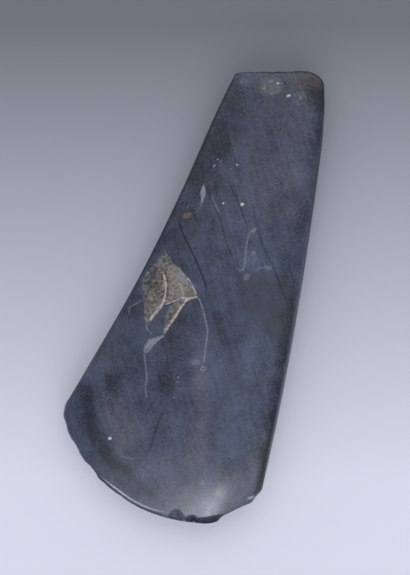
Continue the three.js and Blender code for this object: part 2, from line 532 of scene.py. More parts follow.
@dataclass
class GroundFaces:
    """The faces ground on each side of the blade's middle plane, and how they merge."""

    left_rim: float = 2.4
    right_rim: float = 1.1
    butt_rim: float = 3.6
    edge_rim: float = 0.35
    side_slope: float = 0.5
    right_rounding: float = 8.5
    butt_rounding: float = 4.5
    edge_blunting: float = 1.2
    edge_blunting_run: float = 0.8
    edge_bevel_slope: float = 0.34
    merge_sharpness: float = 3.2
    thickest_at_y: float = -18.0
    butt_thinning: float = 0.3
    crown: float = 0.16
    half_body: float = 10.225

    def rise(self, distance: np.ndarray, radius: float, rim: float, top: np.ndarray) -> np.ndarray:
        """Height of a face that rises in a quarter round from its rim and then runs level."""
        share = 1.0 - np.minimum(distance / radius, 1.0)
        return rim + (top - rim) * np.sqrt(1.0 - share * share)

    def half_thickness(self, y: np.ndarray, inward: dict[str, np.ndarray]) -> np.ndarray:
        """Half the blade's thickness at every point.

        Args:
            y: where each point is along the blade.
            inward: its distances in to the four borders.

        Returns:
            Heights above the middle plane.
        """
        along_butt = np.maximum(0.0, (y - self.thickest_at_y) / (100.0 - self.thickest_at_y))
        across = (inward["left"] - inward["right"]) / (inward["left"] + inward["right"])
        body = self.half_body * (1 - self.butt_thinning * along_butt**2) * (1 - self.crown * across**2)
        blunting = self.edge_blunting * (1.0 - np.exp(-inward["edge"] / self.edge_blunting_run))
        right = self.rise(inward["right"], self.right_rounding, self.right_rim, body)
        butt = self.rise(inward["butt"], self.butt_rounding, self.butt_rim, body)
        faces = [
            body,
            self.left_rim + self.side_slope * inward["left"],
            right + self.side_slope * inward["right"],
            butt + self.side_slope * inward["butt"],
            self.edge_rim + blunting + self.edge_bevel_slope * inward["edge"],
        ]
        merged = sum(face**-self.merge_sharpness for face in faces)
        return merged ** (-1.0 / self.merge_sharpness)


@dataclass(frozen=True)
class EdgeChip:
    """A small bite out of the cutting edge.

    Args:
        at: where it is along the edge, from 0 to 1.
        width: how long it is along the edge.
        depth: how far it bites in.
        reach: how far in from the edge the stone is drawn in with it.
    """

    at: float
    width: float
    depth: float
    reach: float = 5.0

    def bite(self, blade: "AxeHead") -> None:
        """Draws the outline in and thickens the edge left behind, as a deeper cut shows it.

        Args:
            blade: the blade that is bitten.
        """
        away = (blade.edge_place - self.at) * blade.edge_length / (self.width / 2)
        shape = np.clip(1.0 - away * away, 0.0, 1.0)[None, :]
        shift = self.depth * shape * np.clip(1.0 - blade.inward["edge"] / self.reach, 0.0, 1.0) ** 2
        blade.plan_points += shift[:, :, None] * blade.edge_inward[None]
        blade.inward["edge"] += shift


@dataclass(frozen=True)
class EdgeBreak:
    """A scoop snapped off the upper side of the cutting edge, with a crisp curved lip.

    Args:
        lip: the lip's line, from left to right.
        slope: how steeply the break falls from the lip.
        curl: the extra drop just under the lip.
        strength: how dark the broken stone is, from 0 to 1.
    """

    lip: Points
    slope: float = 0.75
    curl: float = 0.35
    strength: float = 1.0

    def draw(self, stone: MarkedSurface) -> None:
        """Lowers the face between the lip and the edge and marks it as broken.

        Args:
            stone: the surface that it is broken out of.
        """
        path = smooth_curve(self.lip, 12 * len(self.lip))
        near = stone.near(np.vstack([path, path - (0.0, 6.0)]), 0.5)
        away, side, along = nearest_on_path(stone.plan[near], path)
        ends = smoothstep(along, 0.0, 0.06) * smoothstep(1.0 - along, 0.0, 0.06)
        outside = np.where(side < 0, away, -away)
        fall = (self.slope * outside + self.curl * smoothstep(outside, 0.0, 0.35)) * (outside > 0)
        stone.lower[near] += fall * ends
        broken = self.strength * np.clip(0.5 + outside / 1.2, 0.0, 1.0) * smoothstep(ends, 0.0, 0.5)
        stone.raise_mark(Mark.BREAK_AND_EDGE_SHADE, near, broken)


# The hollows where flakes came off the face, left of the middle
SCARS = (
    FlakeScar(
        outline=(
            (-25.2, 8.4), (-23.0, 6.5), (-19.8, 4.6), (-16.0, 2.6), (-12.5, 0.7), (-9.6, -1.8),
            (-7.4, -4.1), (-5.9, -5.8), (-9.0, -7.8), (-12.3, -9.0), (-15.3, -11.1), (-18.7, -13.2),
            (-19.1, -15.4), (-21.0, -20.1), (-22.6, -24.3), (-23.6, -22.8), (-25.0, -19.3),
            (-26.9, -14.2), (-29.2, -9.3), (-30.0, -6.1), (-29.6, -3.2), (-27.3, 2.0),
        ),
        depth=0.6, run=7.0,
    ),
    FlakeScar(
        outline=(
            (-6.2, -5.9), (-9.6, -8.4), (-11.0, -11.6), (-12.4, -17.0), (-13.6, -21.2), (-14.7, -26.2),
            (-15.2, -21.5), (-16.2, -15.8), (-15.6, -12.6), (-12.0, -9.4),
        ),
        depth=0.45, run=4.0,
    ),
    FlakeScar(
        outline=(
            (-14.6, -26.0), (-17.6, -27.9), (-20.1, -30.0), (-20.7, -33.0), (-20.1, -35.3),
            (-17.9, -31.0),
        ),
        depth=0.2, run=1.5, strength=0.0,
    ),
)

# The crests between and round the flake scars, where the sharp stone is pale
RIDGES = (
    Trace(
        Mark.RIDGE,
        ((-23.4, -0.2), (-20.3, -5.0), (-19.2, -10.3), (-19.4, -13.6), (-21.1, -18.1), (-22.5, -22.8)),
        reach=1.15, groove=-0.3, skirt=1.0,
    ),
    Trace(
        Mark.RIDGE, ((-5.9, -5.8), (-9.0, -7.8), (-11.4, -8.1), (-15.3, -11.1), (-18.0, -13.4)),
        reach=0.7, strength=0.9, groove=-0.15, fade=0.03, skirt=0.5,
    ),
    Trace(
        Mark.RIDGE,
        ((-6.2, -5.9), (-9.6, -8.4), (-11.2, -12.1), (-12.5, -17.3), (-13.8, -21.8), (-14.6, -26.0)),
        reach=1.0, groove=-0.25, fade=0.2, skirt=0.9,
    ),
    Trace(
        Mark.RIDGE, ((-11.6, -7.6), (-12.9, -5.4), (-14.7, -3.4), (-16.7, -2.4)),
        reach=0.7, strength=0.75, groove=-0.15, skirt=0.5,
    ),
    Trace(
        Mark.RIDGE, ((-16.6, 2.3), (-13.6, 1.0), (-10.6, -1.0), (-8.0, -3.6), (-6.1, -5.8)),
        reach=0.6, strength=0.75, fade=0.15,
    ),
    Trace(
        Mark.RIDGE, ((-27.6, -8.2), (-25.6, -8.9), (-22.6, -11.6), (-20.6, -12.6)),
        reach=0.5, strength=0.35, groove=-0.1, fade=0.3,
    ),
)

# Thin pale veins and scratches, and along the cutting edge's left half a painted highlight line on a slight
# lip, with a painted dark band of shade under it
VEINS_AND_PAINTED_EDGE_LINES = (
    Trace(
        Mark.VEIN_AND_GLINT, ((-5.9, -5.8), (-3.4, -8.4), (0.0, -13.7), (2.7, -18.8), (4.0, -25.4), (5.2, -32.1)),
        reach=0.55, strength=0.62, groove=0.05, fade=0.05,
    ),
    Trace(
        Mark.VEIN_AND_GLINT,
        ((-20.1, -35.0), (-19.4, -37.4), (-16.7, -42.9), (-15.5, -46.6), (-14.9, -49.7), (-12.9, -54.0)),
        reach=0.5, strength=0.55, groove=0.05,
    ),
    Trace(
        Mark.VEIN_AND_GLINT, ((-20.4, -35.2), (-19.0, -34.3), (-17.6, -31.0), (-15.8, -27.6), (-14.4, -26.0)),
        reach=0.7, strength=0.8, fade=0.02,
    ),
    Trace(
        Mark.VEIN_AND_GLINT, ((-14.5, -26.0), (-17.2, -27.9), (-19.6, -29.4), (-20.6, -32.6), (-20.3, -35.2)),
        reach=0.6, strength=0.5, fade=0.02,
    ),
    Trace(Mark.VEIN_AND_GLINT, ((-22.5, -23.4), (-22.4, -25.0), (-20.8, -26.3), (-19.3, -26.8)), strength=0.55),
    Trace(
        Mark.VEIN_AND_GLINT, ((-28.2, -14.0), (-29.4, -16.2), (-31.6, -18.4), (-31.9, -20.2), (-31.2, -22.1)),
        strength=0.45,
    ),
    Trace(
        Mark.VEIN_AND_GLINT,
        ((8.1, 28.4), (6.8, 26.0), (7.0, 22.8), (8.1, 17.1), (9.1, 13.2), (8.6, 10.4), (5.6, 10.6)),
        strength=0.5, groove=0.04,
    ),
    Trace(
        Mark.VEIN_AND_GLINT, ((14.9, 11.9), (15.6, 14.2), (16.8, 13.9), (17.7, 15.2), (19.3, 14.3), (20.7, 15.3)),
        reach=0.5, strength=0.4,
    ),
    Trace(Mark.VEIN_AND_GLINT, ((-14.1, 37.7), (-10.6, 33.4), (-7.0, 30.1)), reach=0.6, strength=0.55, fade=0.25),
    Trace(Mark.VEIN_AND_GLINT, ((-16.1, 31.6), (-16.8, 29.3), (-17.6, 27.6)), reach=0.5, strength=0.4, fade=0.3),
    Trace(Mark.VEIN_AND_GLINT, ((-24.8, 22.0), (-25.8, 19.6), (-26.7, 17.3)), reach=0.5, strength=0.3, fade=0.3),
    Trace(Mark.VEIN_AND_GLINT, ((-21.9, 31.9), (-21.4, 29.0), (-21.2, 27.2)), reach=0.6, strength=0.4, fade=0.3),
    Trace(
        Mark.VEIN_AND_GLINT, ((-24.2, 31.2), (-25.4, 30.2), (-25.5, 28.4), (-24.6, 27.8)),
        reach=0.6, strength=0.3,
    ),
    # Painted highlight: a pale line on a slight raised lip along the cutting edge, standing in for the
    # glint of the light on it, made brighter by the spot line after it
    Trace(
        Mark.VEIN_AND_GLINT,
        ((-21.2, -92.0), (-14.3, -94.4), (-8.1, -96.4), (-3.4, -97.5), (3.0, -98.2), (10.8, -97.7)),
        reach=0.7, strength=1.3, groove=-0.2, fade=0.35,
    ),
    Trace(
        Mark.SPOT, ((-22.0, -91.5), (-18.4, -93.0), (-14.3, -94.4), (-9.6, -95.9), (-4.6, -97.2)),
        reach=0.5, strength=0.62, fade=0.4,
    ),
    # Painted shade: a dark band along the cutting edge under the highlight line
    Trace(
        Mark.BREAK_AND_EDGE_SHADE,
        (
            (-26.0, -90.3), (-21.0, -93.2), (-14.5, -96.1), (-8.2, -98.3), (-1.6, -99.5), (7.1, -100.0),
            (14.2, -99.6),
        ),
        reach=1.5, strength=1.2, fade=0.2,
    ),
    Trace(Mark.VEIN_AND_GLINT, ((-16.9, -80.5), (-12.0, -80.1), (-9.6, -78.9)), reach=0.5, strength=0.45, fade=0.2),
    Trace(Mark.VEIN_AND_GLINT, ((-16.2, -81.9), (-12.5, -82.0), (-9.0, -80.8)), reach=0.5, strength=0.25, fade=0.2),
)

# Hairline cracks down the face, and a scratch across its upper part
CRACKS = (
    Trace(
        Mark.VEIN_AND_GLINT, ((-20.1, 72.0), (-14.9, 64.5), (-7.9, 54.8), (-0.9, 43.6), (5.5, 34.4)),
        reach=0.6, strength=0.17, step=0.16, step_reach=4.0, fade=0.12,
    ),
    Trace(
        Mark.CRACK, ((3.4, 37.2), (11.3, 26.6), (17.6, 19.4), (24.0, 12.1), (36.0, -2.9)),
        reach=0.7, strength=0.7, groove=0.12, step=-0.06, step_reach=3.0, fade=0.25,
    ),
    Trace(Mark.CRACK, ((21.6, 10.8), (24.2, 4.5), (27.4, 1.6)), strength=0.35, groove=0.05, fade=0.3),
    Trace(
        Mark.CRACK, ((-10.1, 46.9), (-5.2, 41.3), (0.1, 35.3), (3.2, 31.4), (7.0, 26.5)),
        reach=0.7, strength=0.65, groove=0.12, fade=0.2,
    ),
    Trace(
        Mark.CRACK,
        ((-18.0, 42.0), (-14.7, 37.5), (-11.3, 33.5), (-6.9, 28.2), (-0.4, 18.6), (5.1, 12.3)),
        reach=0.75, strength=0.62, groove=0.12, step=0.06, step_reach=3.0, fade=0.15,
    ),
    Trace(
        Mark.CRACK, ((-24.9, 23.7), (-18.7, 16.3), (-13.5, 11.0), (-8.7, 5.6), (-4.4, 0.3), (-2.9, -3.6)),
        reach=0.7, strength=0.85, groove=0.12, step=0.06, step_reach=3.0, fade=0.12,
    ),
    Trace(
        Mark.CRACK, ((-22.6, 0.2), (-21.1, -2.1), (-19.5, -5.2), (-18.5, -8.6), (-18.4, -11.6)),
        reach=0.7, strength=0.85, groove=0.1,
    ),
    Trace(
        Mark.CRACK,
        ((-6.4, -7.0), (-9.0, -9.0), (-10.2, -11.6), (-11.6, -17.0), (-13.0, -21.6), (-13.9, -25.0)),
        reach=0.7, strength=0.6, groove=0.08,
    ),
    Trace(Mark.CRACK, ((-18.5, -13.8), (-16.6, -13.0), (-15.0, -12.0)), reach=0.6, strength=0.7),
    Trace(Mark.CRACK, ((4.5, -51.7), (6.4, -55.6), (8.9, -61.0)), reach=0.6, strength=0.25, fade=0.3),
    Trace(
        Mark.CRACK, ((-3.8, -52.5), (-5.4, -61.0), (-5.3, -72.7), (-6.7, -78.1)),
        reach=1.3, strength=0.62, fade=0.3,
    ),
    Trace(Mark.CRACK, ((-9.4, -52.4), (-10.9, -57.2), (-12.1, -61.3)), reach=1.2, strength=0.5, fade=0.3),
    Trace(
        Mark.CRACK, ((6.3, -12.5), (11.6, -19.6), (15.4, -25.3), (18.7, -31.4)),
        strength=0.45, fade=0.3,
    ),
)

# Stains, pale flakes and the cloudy tone of the polished face, with painted shade along the left and right
# sides, in a band over the lower left bevel and over the sheen by the cutting edge
PATCHES = (
    Patch(
        Mark.VEIN_AND_GLINT,
        (
            (-18.1, 40.6), (-16.7, 38.6), (-15.9, 36.5), (-16.0, 34.0), (-16.3, 31.4), (-17.0, 34.0),
            (-18.3, 36.6),
        ),
        blur=0.35, strength=0.72,
    ),
    Patch(
        Mark.BLUE,
        (
            (-17.6, 1.4), (-15.8, 2.5), (-13.2, 0.6), (-11.6, -1.6), (-13.4, -1.9), (-15.4, -1.4),
            (-17.1, -0.4),
        ),
        blur=0.5,
    ),
    Patch(
        Mark.RUST, ((-11.6, -5.4), (-9.6, -3.9), (-7.4, -4.6), (-8.0, -6.6), (-10.8, -7.2)),
        blur=0.6, strength=0.75,
    ),
    Patch(
        Mark.VEIN_AND_GLINT, ((-8.6, 90.6), (-2.0, 93.4), (1.6, 91.4), (0.4, 86.4), (-6.6, 84.0)),
        blur=1.6, strength=0.24,
    ),
    Patch(Mark.VEIN_AND_GLINT, ((6.0, 90.0), (12.0, 91.0), (13.0, 84.6), (7.4, 84.0)), blur=1.6, strength=0.18),
    Patch(
        Mark.VEIN_AND_GLINT, ((-14.8, -26.4), (-17.4, -28.3), (-19.8, -30.0), (-20.3, -34.0), (-17.8, -31.0)),
        blur=0.5, strength=0.62,
    ),
    Patch(
        Mark.OLIVE,
        (
            (6.8, 9.2), (14.5, 11.6), (23.6, 14.4), (30.2, 10.9), (34.9, -2.4), (36.4, -16.0),
            (26.6, -10.4), (16.9, -7.3), (11.4, -1.6),
        ),
        blur=1.6,
    ),
    Patch(Mark.SHADE, ((9.1, 68.0), (19.0, 66.0), (27.0, 42.0), (12.0, 40.0)), blur=6.0, strength=0.2),
    # Painted shade: the right side darkened where it rounds down to its rim
    Patch(
        Mark.SHADE, ((31.0, 12.0), (38.0, -10.0), (43.0, -42.0), (38.5, -44.0), (33.0, -16.0)),
        blur=2.5, strength=-0.5,
    ),
    Patch(
        Mark.SHADE, ((12.0, 100.0), (19.0, 98.0), (27.0, 60.0), (32.0, 36.0), (25.0, 60.0), (19.0, 84.0)),
        blur=2.8, strength=-0.36,
    ),
    Patch(Mark.WARM, ((-14.0, 76.0), (14.0, 86.0), (24.0, 46.0), (8.0, 36.0)), blur=7.0, strength=0.35),
    # Painted shade: the face darkened along its left side, where it slopes down to the rim
    Patch(
        Mark.SHADE, ((-22.5, 84.0), (-14.0, 84.0), (-10.0, 64.0), (-14.0, 50.0), (-26.0, 40.0)),
        blur=3.6, strength=-0.5,
    ),
    Patch(
        Mark.SHADE,
        ((-27.0, 34.0), (-18.0, 30.0), (-17.0, 12.0), (-20.0, 6.0), (-27.0, 9.0), (-33.0, -2.0)),
        blur=4.0, strength=-0.34,
    ),
    Patch(Mark.SHADE, ((1.6, -10.0), (6.4, -11.5), (9.0, -21.0), (4.4, -21.0)), blur=3.0, strength=-0.15),
    Patch(
        Mark.SHADE,
        ((-22.0, 3.0), (-15.0, 2.5), (-7.0, -5.0), (-12.0, -8.6), (-18.4, -12.0), (-19.0, -5.0)),
        blur=0.8, strength=0.3,
    ),
    Patch(
        Mark.SHADE, ((-24.6, -12.0), (-20.6, -12.0), (-20.6, -17.0), (-23.6, -23.0), (-25.0, -19.0)),
        blur=1.5, strength=0.06,
    ),
    Patch(
        Mark.SHADE, ((-27.4, 0.0), (-24.0, -2.0), (-23.0, -9.0), (-28.0, -9.0), (-29.4, -5.0)),
        blur=1.5, strength=-0.25,
    ),
    Patch(
        Mark.WARM, ((-31.0, -24.0), (-23.0, -24.0), (-18.0, -38.0), (-25.0, -46.0)),
        blur=4.0, strength=-0.4,
    ),
    Patch(
        Mark.WARM,
        ((1.5, -36.5), (7.4, -35.5), (14.5, -54.7), (21.1, -79.5), (13.8, -80.7), (7.0, -56.8)),
        blur=2.4, strength=0.62,
    ),
    Patch(
        Mark.SHADE,
        ((1.0, -33.0), (7.4, -34.5), (13.5, -54.7), (16.0, -66.0), (11.0, -66.0), (6.0, -52.0)),
        blur=2.5, strength=-0.04,
    ),
    Patch(
        Mark.SHADE, ((-12.4, -24.0), (-4.6, -26.0), (-1.8, -43.6), (-9.2, -52.0)),
        blur=3.0, strength=-0.14,
    ),
    Patch(
        Mark.SHADE,
        ((-10.4, -12.7), (-6.7, -8.3), (-0.9, -17.6), (2.9, -30.8), (-3.3, -31.2), (-8.7, -21.8)),
        blur=1.5, strength=0.02,
    ),
    Patch(
        Mark.WARM,
        ((-10.4, -12.7), (-6.7, -8.3), (-0.9, -17.6), (2.9, -30.8), (-3.3, -31.2), (-8.7, -21.8)),
        blur=1.5, strength=0.22,
    ),
    # Painted shade: a dark blue-grey band across the lower left bevel, where the tilted face reflects
    # little light; the warm patch after it turns the band bluer
    Patch(
        Mark.SHADE,
        (
            (-42.0, -57.0), (-38.0, -56.0), (-33.6, -64.0), (-28.0, -73.0), (-19.0, -81.0),
            (-12.0, -85.0), (-20.0, -85.6), (-29.0, -79.0), (-35.6, -71.0),
        ),
        blur=3.4, strength=-0.62,
    ),
    Patch(
        Mark.WARM,
        ((-44.0, -56.0), (-37.0, -54.0), (-31.0, -66.0), (-20.0, -79.0), (-20.0, -88.0), (-36.0, -76.0)),
        blur=3.0, strength=-0.5,
    ),
    Patch(
        Mark.SHADE, ((-33.0, -30.0), (-27.0, -24.0), (-24.0, -34.0), (-33.0, -56.0), (-42.0, -54.0)),
        blur=4.0, strength=-0.22,
    ),
    Patch(
        Mark.WARM, ((-34.7, -59.3), (-21.9, -55.4), (-11.8, -70.1), (-17.2, -78.0), (-28.8, -68.9)),
        blur=4.0, strength=0.5,
    ),
    Patch(
        Mark.SHADE, ((-34.7, -59.3), (-21.9, -53.4), (-11.8, -68.1), (-18.2, -76.0), (-28.8, -67.9)),
        blur=5.0, strength=0.1,
    ),
    Patch(
        Mark.SHADE, ((8.0, 99.6), (8.0, 94.0), (17.0, 90.0), (21.0, 86.0), (18.4, 95.0), (16.0, 99.0)),
        blur=2.5, strength=-0.4,
    ),
    Patch(
        Mark.OCHRE, ((-12.4, 88.9), (-6.0, 91.6), (-2.4, 90.6), (-3.6, 86.0), (-9.5, 84.9)),
        blur=1.6, strength=0.62,
    ),
    Patch(
        Mark.OCHRE, ((1.6, 95.8), (8.8, 98.9), (16.6, 98.9), (17.6, 94.1), (10.4, 92.2), (4.0, 91.6)),
        blur=1.8, strength=0.66,
    ),
    Patch(Mark.OCHRE, ((-3.0, 91.0), (2.0, 94.6), (6.0, 92.0), (1.0, 87.0)), blur=2.0, strength=0.34),
    Patch(
        Mark.WARM, ((36.0, -52.0), (43.6, -54.0), (45.6, -74.5), (40.0, -76.0)),
        blur=3.0, strength=0.75,
    ),
    # Painted shade: darker and bluer by the cutting edge around the highlight, narrowing the sheen of the
    # light on the bevel
    Patch(
        Mark.SHADE,
        ((-6.0, -88.5), (6.0, -83.5), (17.0, -80.0), (22.0, -85.0), (18.0, -93.0), (-3.0, -94.0)),
        blur=4.0, strength=-0.42,
    ),
    Patch(
        Mark.WARM,
        ((-8.0, -87.0), (6.0, -79.0), (19.0, -75.0), (22.0, -84.0), (18.0, -93.0), (-3.0, -94.0)),
        blur=4.0, strength=-0.9,
    ),
    Patch(
        Mark.SHADE, ((27.0, -68.0), (36.0, -66.0), (38.0, -78.0), (31.0, -82.0)),
        blur=3.0, strength=-0.35,
    ),
    Patch(
        Mark.SHADE, ((-33.0, -12.0), (-29.0, -10.0), (-25.0, -20.0), (-27.0, -26.0), (-34.0, -22.0)),
        blur=3.0, strength=-0.3,
    ),
    # Painted shade: the dark band on the lower left bevel, at its lower end and where it is moved to the
    # right
    Patch(
        Mark.SHADE, ((-18.0, -84.0), (-10.0, -84.0), (-8.0, -91.0), (-15.0, -92.0)),
        blur=3.0, strength=-0.25,
    ),
    Patch(
        Mark.SHADE, ((-32.0, -50.0), (-26.0, -48.0), (-26.0, -62.0), (-31.0, -62.0)),
        blur=3.0, strength=-0.35,
    ),
    Patch(
        Mark.SHADE, ((-42.0, -49.0), (-35.5, -43.0), (-33.0, -54.0), (-40.0, -60.0)),
        blur=3.0, strength=0.36,
    ),
    Patch(
        Mark.SHADE,
        ((2.0, -27.0), (9.0, -26.0), (14.0, -36.0), (15.0, -50.0), (8.0, -46.0), (4.0, -38.0)),
        blur=3.0, strength=0.33,
    ),
    Patch(
        Mark.SHADE, ((18.0, -20.0), (26.0, -14.0), (31.0, -22.0), (26.0, -32.0), (19.0, -30.0)),
        blur=4.0, strength=0.3,
    ),
    Patch(
        Mark.SHADE, ((22.0, -42.0), (30.0, -40.0), (32.0, -54.0), (30.0, -66.0), (24.0, -66.0)),
        blur=4.0, strength=0.3,
    ),
    # Painted shade: the right side darkened towards its rim
    Patch(
        Mark.SHADE, ((36.0, -44.0), (40.0, -46.0), (42.0, -66.0), (38.0, -66.0)),
        blur=3.0, strength=-0.22,
    ),
    Patch(
        Mark.SHADE,
        ((-24.0, 36.0), (-20.0, 44.0), (-12.0, 48.0), (-9.0, 42.0), (-14.0, 36.0), (-20.0, 32.0)),
        blur=3.0, strength=-0.4,
    ),
    Patch(
        Mark.SHADE, ((10.0, 47.0), (22.0, 52.0), (29.0, 46.0), (31.0, 36.0), (24.0, 32.0), (11.0, 38.0)),
        blur=4.0, strength=-0.3,
    ),
    Patch(
        Mark.SHADE, ((9.0, 24.0), (20.0, 24.0), (24.0, 14.0), (16.0, 8.0), (8.0, 12.0)),
        blur=4.0, strength=0.28,
    ),
    Patch(
        Mark.SHADE, ((-13.0, -18.0), (-8.0, -14.0), (-6.0, -24.0), (-10.0, -32.0), (-14.0, -29.0)),
        blur=3.0, strength=-0.3,
    ),
    Patch(
        Mark.SHADE, ((-26.0, -36.0), (-20.0, -36.0), (-19.0, -44.0), (-24.0, -46.0)),
        blur=3.0, strength=-0.3,
    ),
    Patch(
        Mark.SHADE, ((-15.0, -34.0), (-8.0, -32.0), (-5.0, -42.0), (-11.0, -48.0)),
        blur=3.0, strength=-0.18,
    ),
    Patch(
        Mark.WARM, ((-4.0, 96.0), (12.0, 98.0), (20.0, 94.0), (20.0, 84.0), (-4.0, 82.0)),
        blur=3.0, strength=0.35,
    ),
    Patch(
        Mark.SHADE, ((-4.0, 96.0), (12.0, 98.0), (20.0, 94.0), (20.0, 84.0), (-4.0, 82.0)),
        blur=3.0, strength=-0.12,
    ),
    # Painted shade: the lower right side darkened along its rim
    Patch(
        Mark.SHADE, ((40.0, -40.0), (43.0, -46.0), (45.8, -74.5), (42.0, -76.0)),
        blur=2.0, strength=-0.6,
    ),
)

# Mineral grains, peck marks, rust and small stains, and two spots of painted shade at the lower end of the
# dark band on the left bevel
SPOTS = (
    Spot(Mark.SPOT, (-15.6, 52.2), (0.44, 0.32), 60.0, 0.6),
    Spot(Mark.SPOT, (-16.1, 49.2), (0.64, 0.32), 70.0, 0.6),
    Spot(Mark.VEIN_AND_GLINT, (-14.0, 51.6), (1.1, 0.4), -55.0, 0.35),
    Spot(Mark.VEIN_AND_GLINT, (-8.8, 50.0), (0.7, 0.5), 30.0, 0.3),
    Spot(Mark.SPOT, (-7.0, 52.6), (0.44, 0.32), -50.0, 0.8, 0.08),
    Spot(Mark.SPOT, (-7.6, 35.2), (0.52, 0.4), 80.0, 0.8, 0.08),
    Spot(Mark.SPOT, (0.2, 37.2), (0.72, 0.5), 20.0, 1.1, 0.1),
    Spot(Mark.CRACK, (0.6, 38.4), (0.8, 0.4), 20.0, 0.7),
    Spot(Mark.VEIN_AND_GLINT, (11.0, 19.0), (0.9, 0.9), 0.0, 0.4),
    Spot(Mark.VEIN_AND_GLINT, (8.3, 28.5), (1.5, 0.9), 60.0, 0.42),
    Spot(Mark.VEIN_AND_GLINT, (11.4, 8.5), (1.8, 1.2), 60.0, 0.3),
    Spot(Mark.VEIN_AND_GLINT, (23.9, 39.6), (0.5, 0.4), 0.0, 0.3),
    Spot(Mark.VEIN_AND_GLINT, (32.5, 9.2), (0.5, 0.4), 0.0, 0.3),
    Spot(Mark.SPOT, (-3.2, -41.0), (0.4, 0.32), 0.0, 0.5),
    Spot(Mark.VEIN_AND_GLINT, (-2.8, -42.9), (0.5, 0.4), 0.0, 0.4),
    Spot(Mark.VEIN_AND_GLINT, (-1.1, -45.4), (0.5, 0.4), 0.0, 0.4),
    Spot(Mark.VEIN_AND_GLINT, (-2.4, -49.7), (0.5, 0.4), 0.0, 0.4),
    Spot(Mark.VEIN_AND_GLINT, (10.6, -44.3), (0.5, 0.4), 0.0, 0.3),
    Spot(Mark.VEIN_AND_GLINT, (5.8, -34.2), (1.0, 1.0), 0.0, 0.55),
    Spot(Mark.CRACK, (5.8, -34.2), (0.45, 0.45), 0.0, 0.8, 0.1),
    Spot(Mark.SPOT, (-22.9, -74.6), (0.6, 0.52), 0.0, 1.2, 0.08),
    Spot(Mark.RUST, (-23.1, -73.3), (0.6, 0.35), 20.0, 0.8),
    Spot(Mark.VEIN_AND_GLINT, (-3.4, -81.0), (0.5, 0.4), 0.0, 0.3),
    Spot(Mark.VEIN_AND_GLINT, (-5.4, -82.9), (0.5, 0.4), 0.0, 0.3),
    Spot(Mark.VEIN_AND_GLINT, (-4.8, -85.0), (0.4, 0.4), 0.0, 0.3),
    Spot(Mark.VEIN_AND_GLINT, (42.0, -80.6), (1.6, 0.6), 40.0, 0.75, 0.15),
    Spot(Mark.VEIN_AND_GLINT, (20.0, -80.7), (1.0, 0.3), 10.0, 0.5),
    Spot(Mark.VEIN_AND_GLINT, (18.9, 15.1), (1.2, 0.9), 0.0, 0.35),
    Spot(Mark.RUST, (-20.5, 25.7), (1.9, 1.3), 35.0, 0.85),
    Spot(Mark.OCHRE, (-15.6, 41.2), (1.6, 1.2), 30.0, 0.7),
    Spot(Mark.RUST, (-8.5, -4.8), (1.3, 0.7), -60.0, 0.9),
    Spot(Mark.SPOT, (4.9, 87.3), (0.8, 0.48), 35.0, 1.0, 0.1),
    Spot(Mark.SPOT, (-1.1, 90.9), (0.64, 0.4), 20.0, 0.7),
    Spot(Mark.VEIN_AND_GLINT, (-4.0, 90.8), (0.8, 0.5), 20.0, 0.6),
    Spot(Mark.VEIN_AND_GLINT, (-6.0, 87.2), (0.8, 0.5), 50.0, 0.6),
    Spot(Mark.VEIN_AND_GLINT, (-2.2, 86.2), (0.6, 0.5), 0.0, 0.5),
    Spot(Mark.VEIN_AND_GLINT, (9.9, 88.3), (0.8, 0.5), 0.0, 0.45),
    Spot(Mark.VEIN_AND_GLINT, (9.8, 85.2), (0.6, 0.5), 0.0, 0.4),
    Spot(Mark.RUST, (10.5, 90.5), (0.9, 0.7), 0.0, 0.7),
    Spot(Mark.RUST, (8.4, 92.2), (0.7, 0.6), 0.0, 0.6),
    Spot(Mark.RUST, (-3.2, 88.6), (0.8, 0.6), 0.0, 0.7),
    Spot(Mark.VEIN_AND_GLINT, (-15.0, 87.2), (2.6, 1.6), 20.0, 0.2),
    Spot(Mark.SHADE, (0.8, -33.0), (2.6, 1.6), 10.0, 0.3),
    Spot(Mark.VEIN_AND_GLINT, (2.0, -32.6), (2.2, 1.2), 20.0, 0.25),
    # Painted shade: the dark band on the left bevel runs on towards the cutting edge
    Spot(Mark.SHADE, (-19.5, -84.5), (2.6, 1.6), -40.0, -0.25),
    Spot(Mark.SHADE, (-10.0, -87.0), (3.0, 1.6), -20.0, -0.2),
    Spot(Mark.SHADE, (35.0, 31.4), (1.6, 1.2), 0.0, -0.3, 0.5),
    Spot(Mark.SHADE, (36.8, 20.9), (1.4, 1.0), 0.0, -0.3, 0.4),
)

# Where the cutting edge snapped, right of its middle
BREAKS = (
    EdgeBreak(((10.2, -98.6), (12.2, -95.6), (13.6, -94.9), (15.6, -96.0), (17.8, -97.6)), strength=0.5),
    EdgeBreak(((17.8, -97.4), (19.4, -96.0), (20.6, -95.2), (21.6, -95.4), (22.6, -96.0)), strength=0.8),
    EdgeBreak(
        ((21.6, -95.9), (24.0, -95.4), (27.0, -94.1), (30.4, -92.0), (33.6, -90.6), (37.0, -88.6)),
        slope=0.9, curl=0.5,
    ),
)

# Bites along the cutting edge, from left to right
CHIPS = (
    EdgeChip(0.075, 6.0, 0.5),
    EdgeChip(0.165, 7.0, 0.5),
    EdgeChip(0.27, 9.0, 0.9),
    EdgeChip(0.34, 3.0, 0.2),
    EdgeChip(0.415, 4.0, 0.2),
    EdgeChip(0.825, 6.0, 0.5, reach=4.0),
    EdgeChip(0.865, 17.0, 1.3, reach=5.5),
    EdgeChip(0.965, 5.0, 0.35),
)


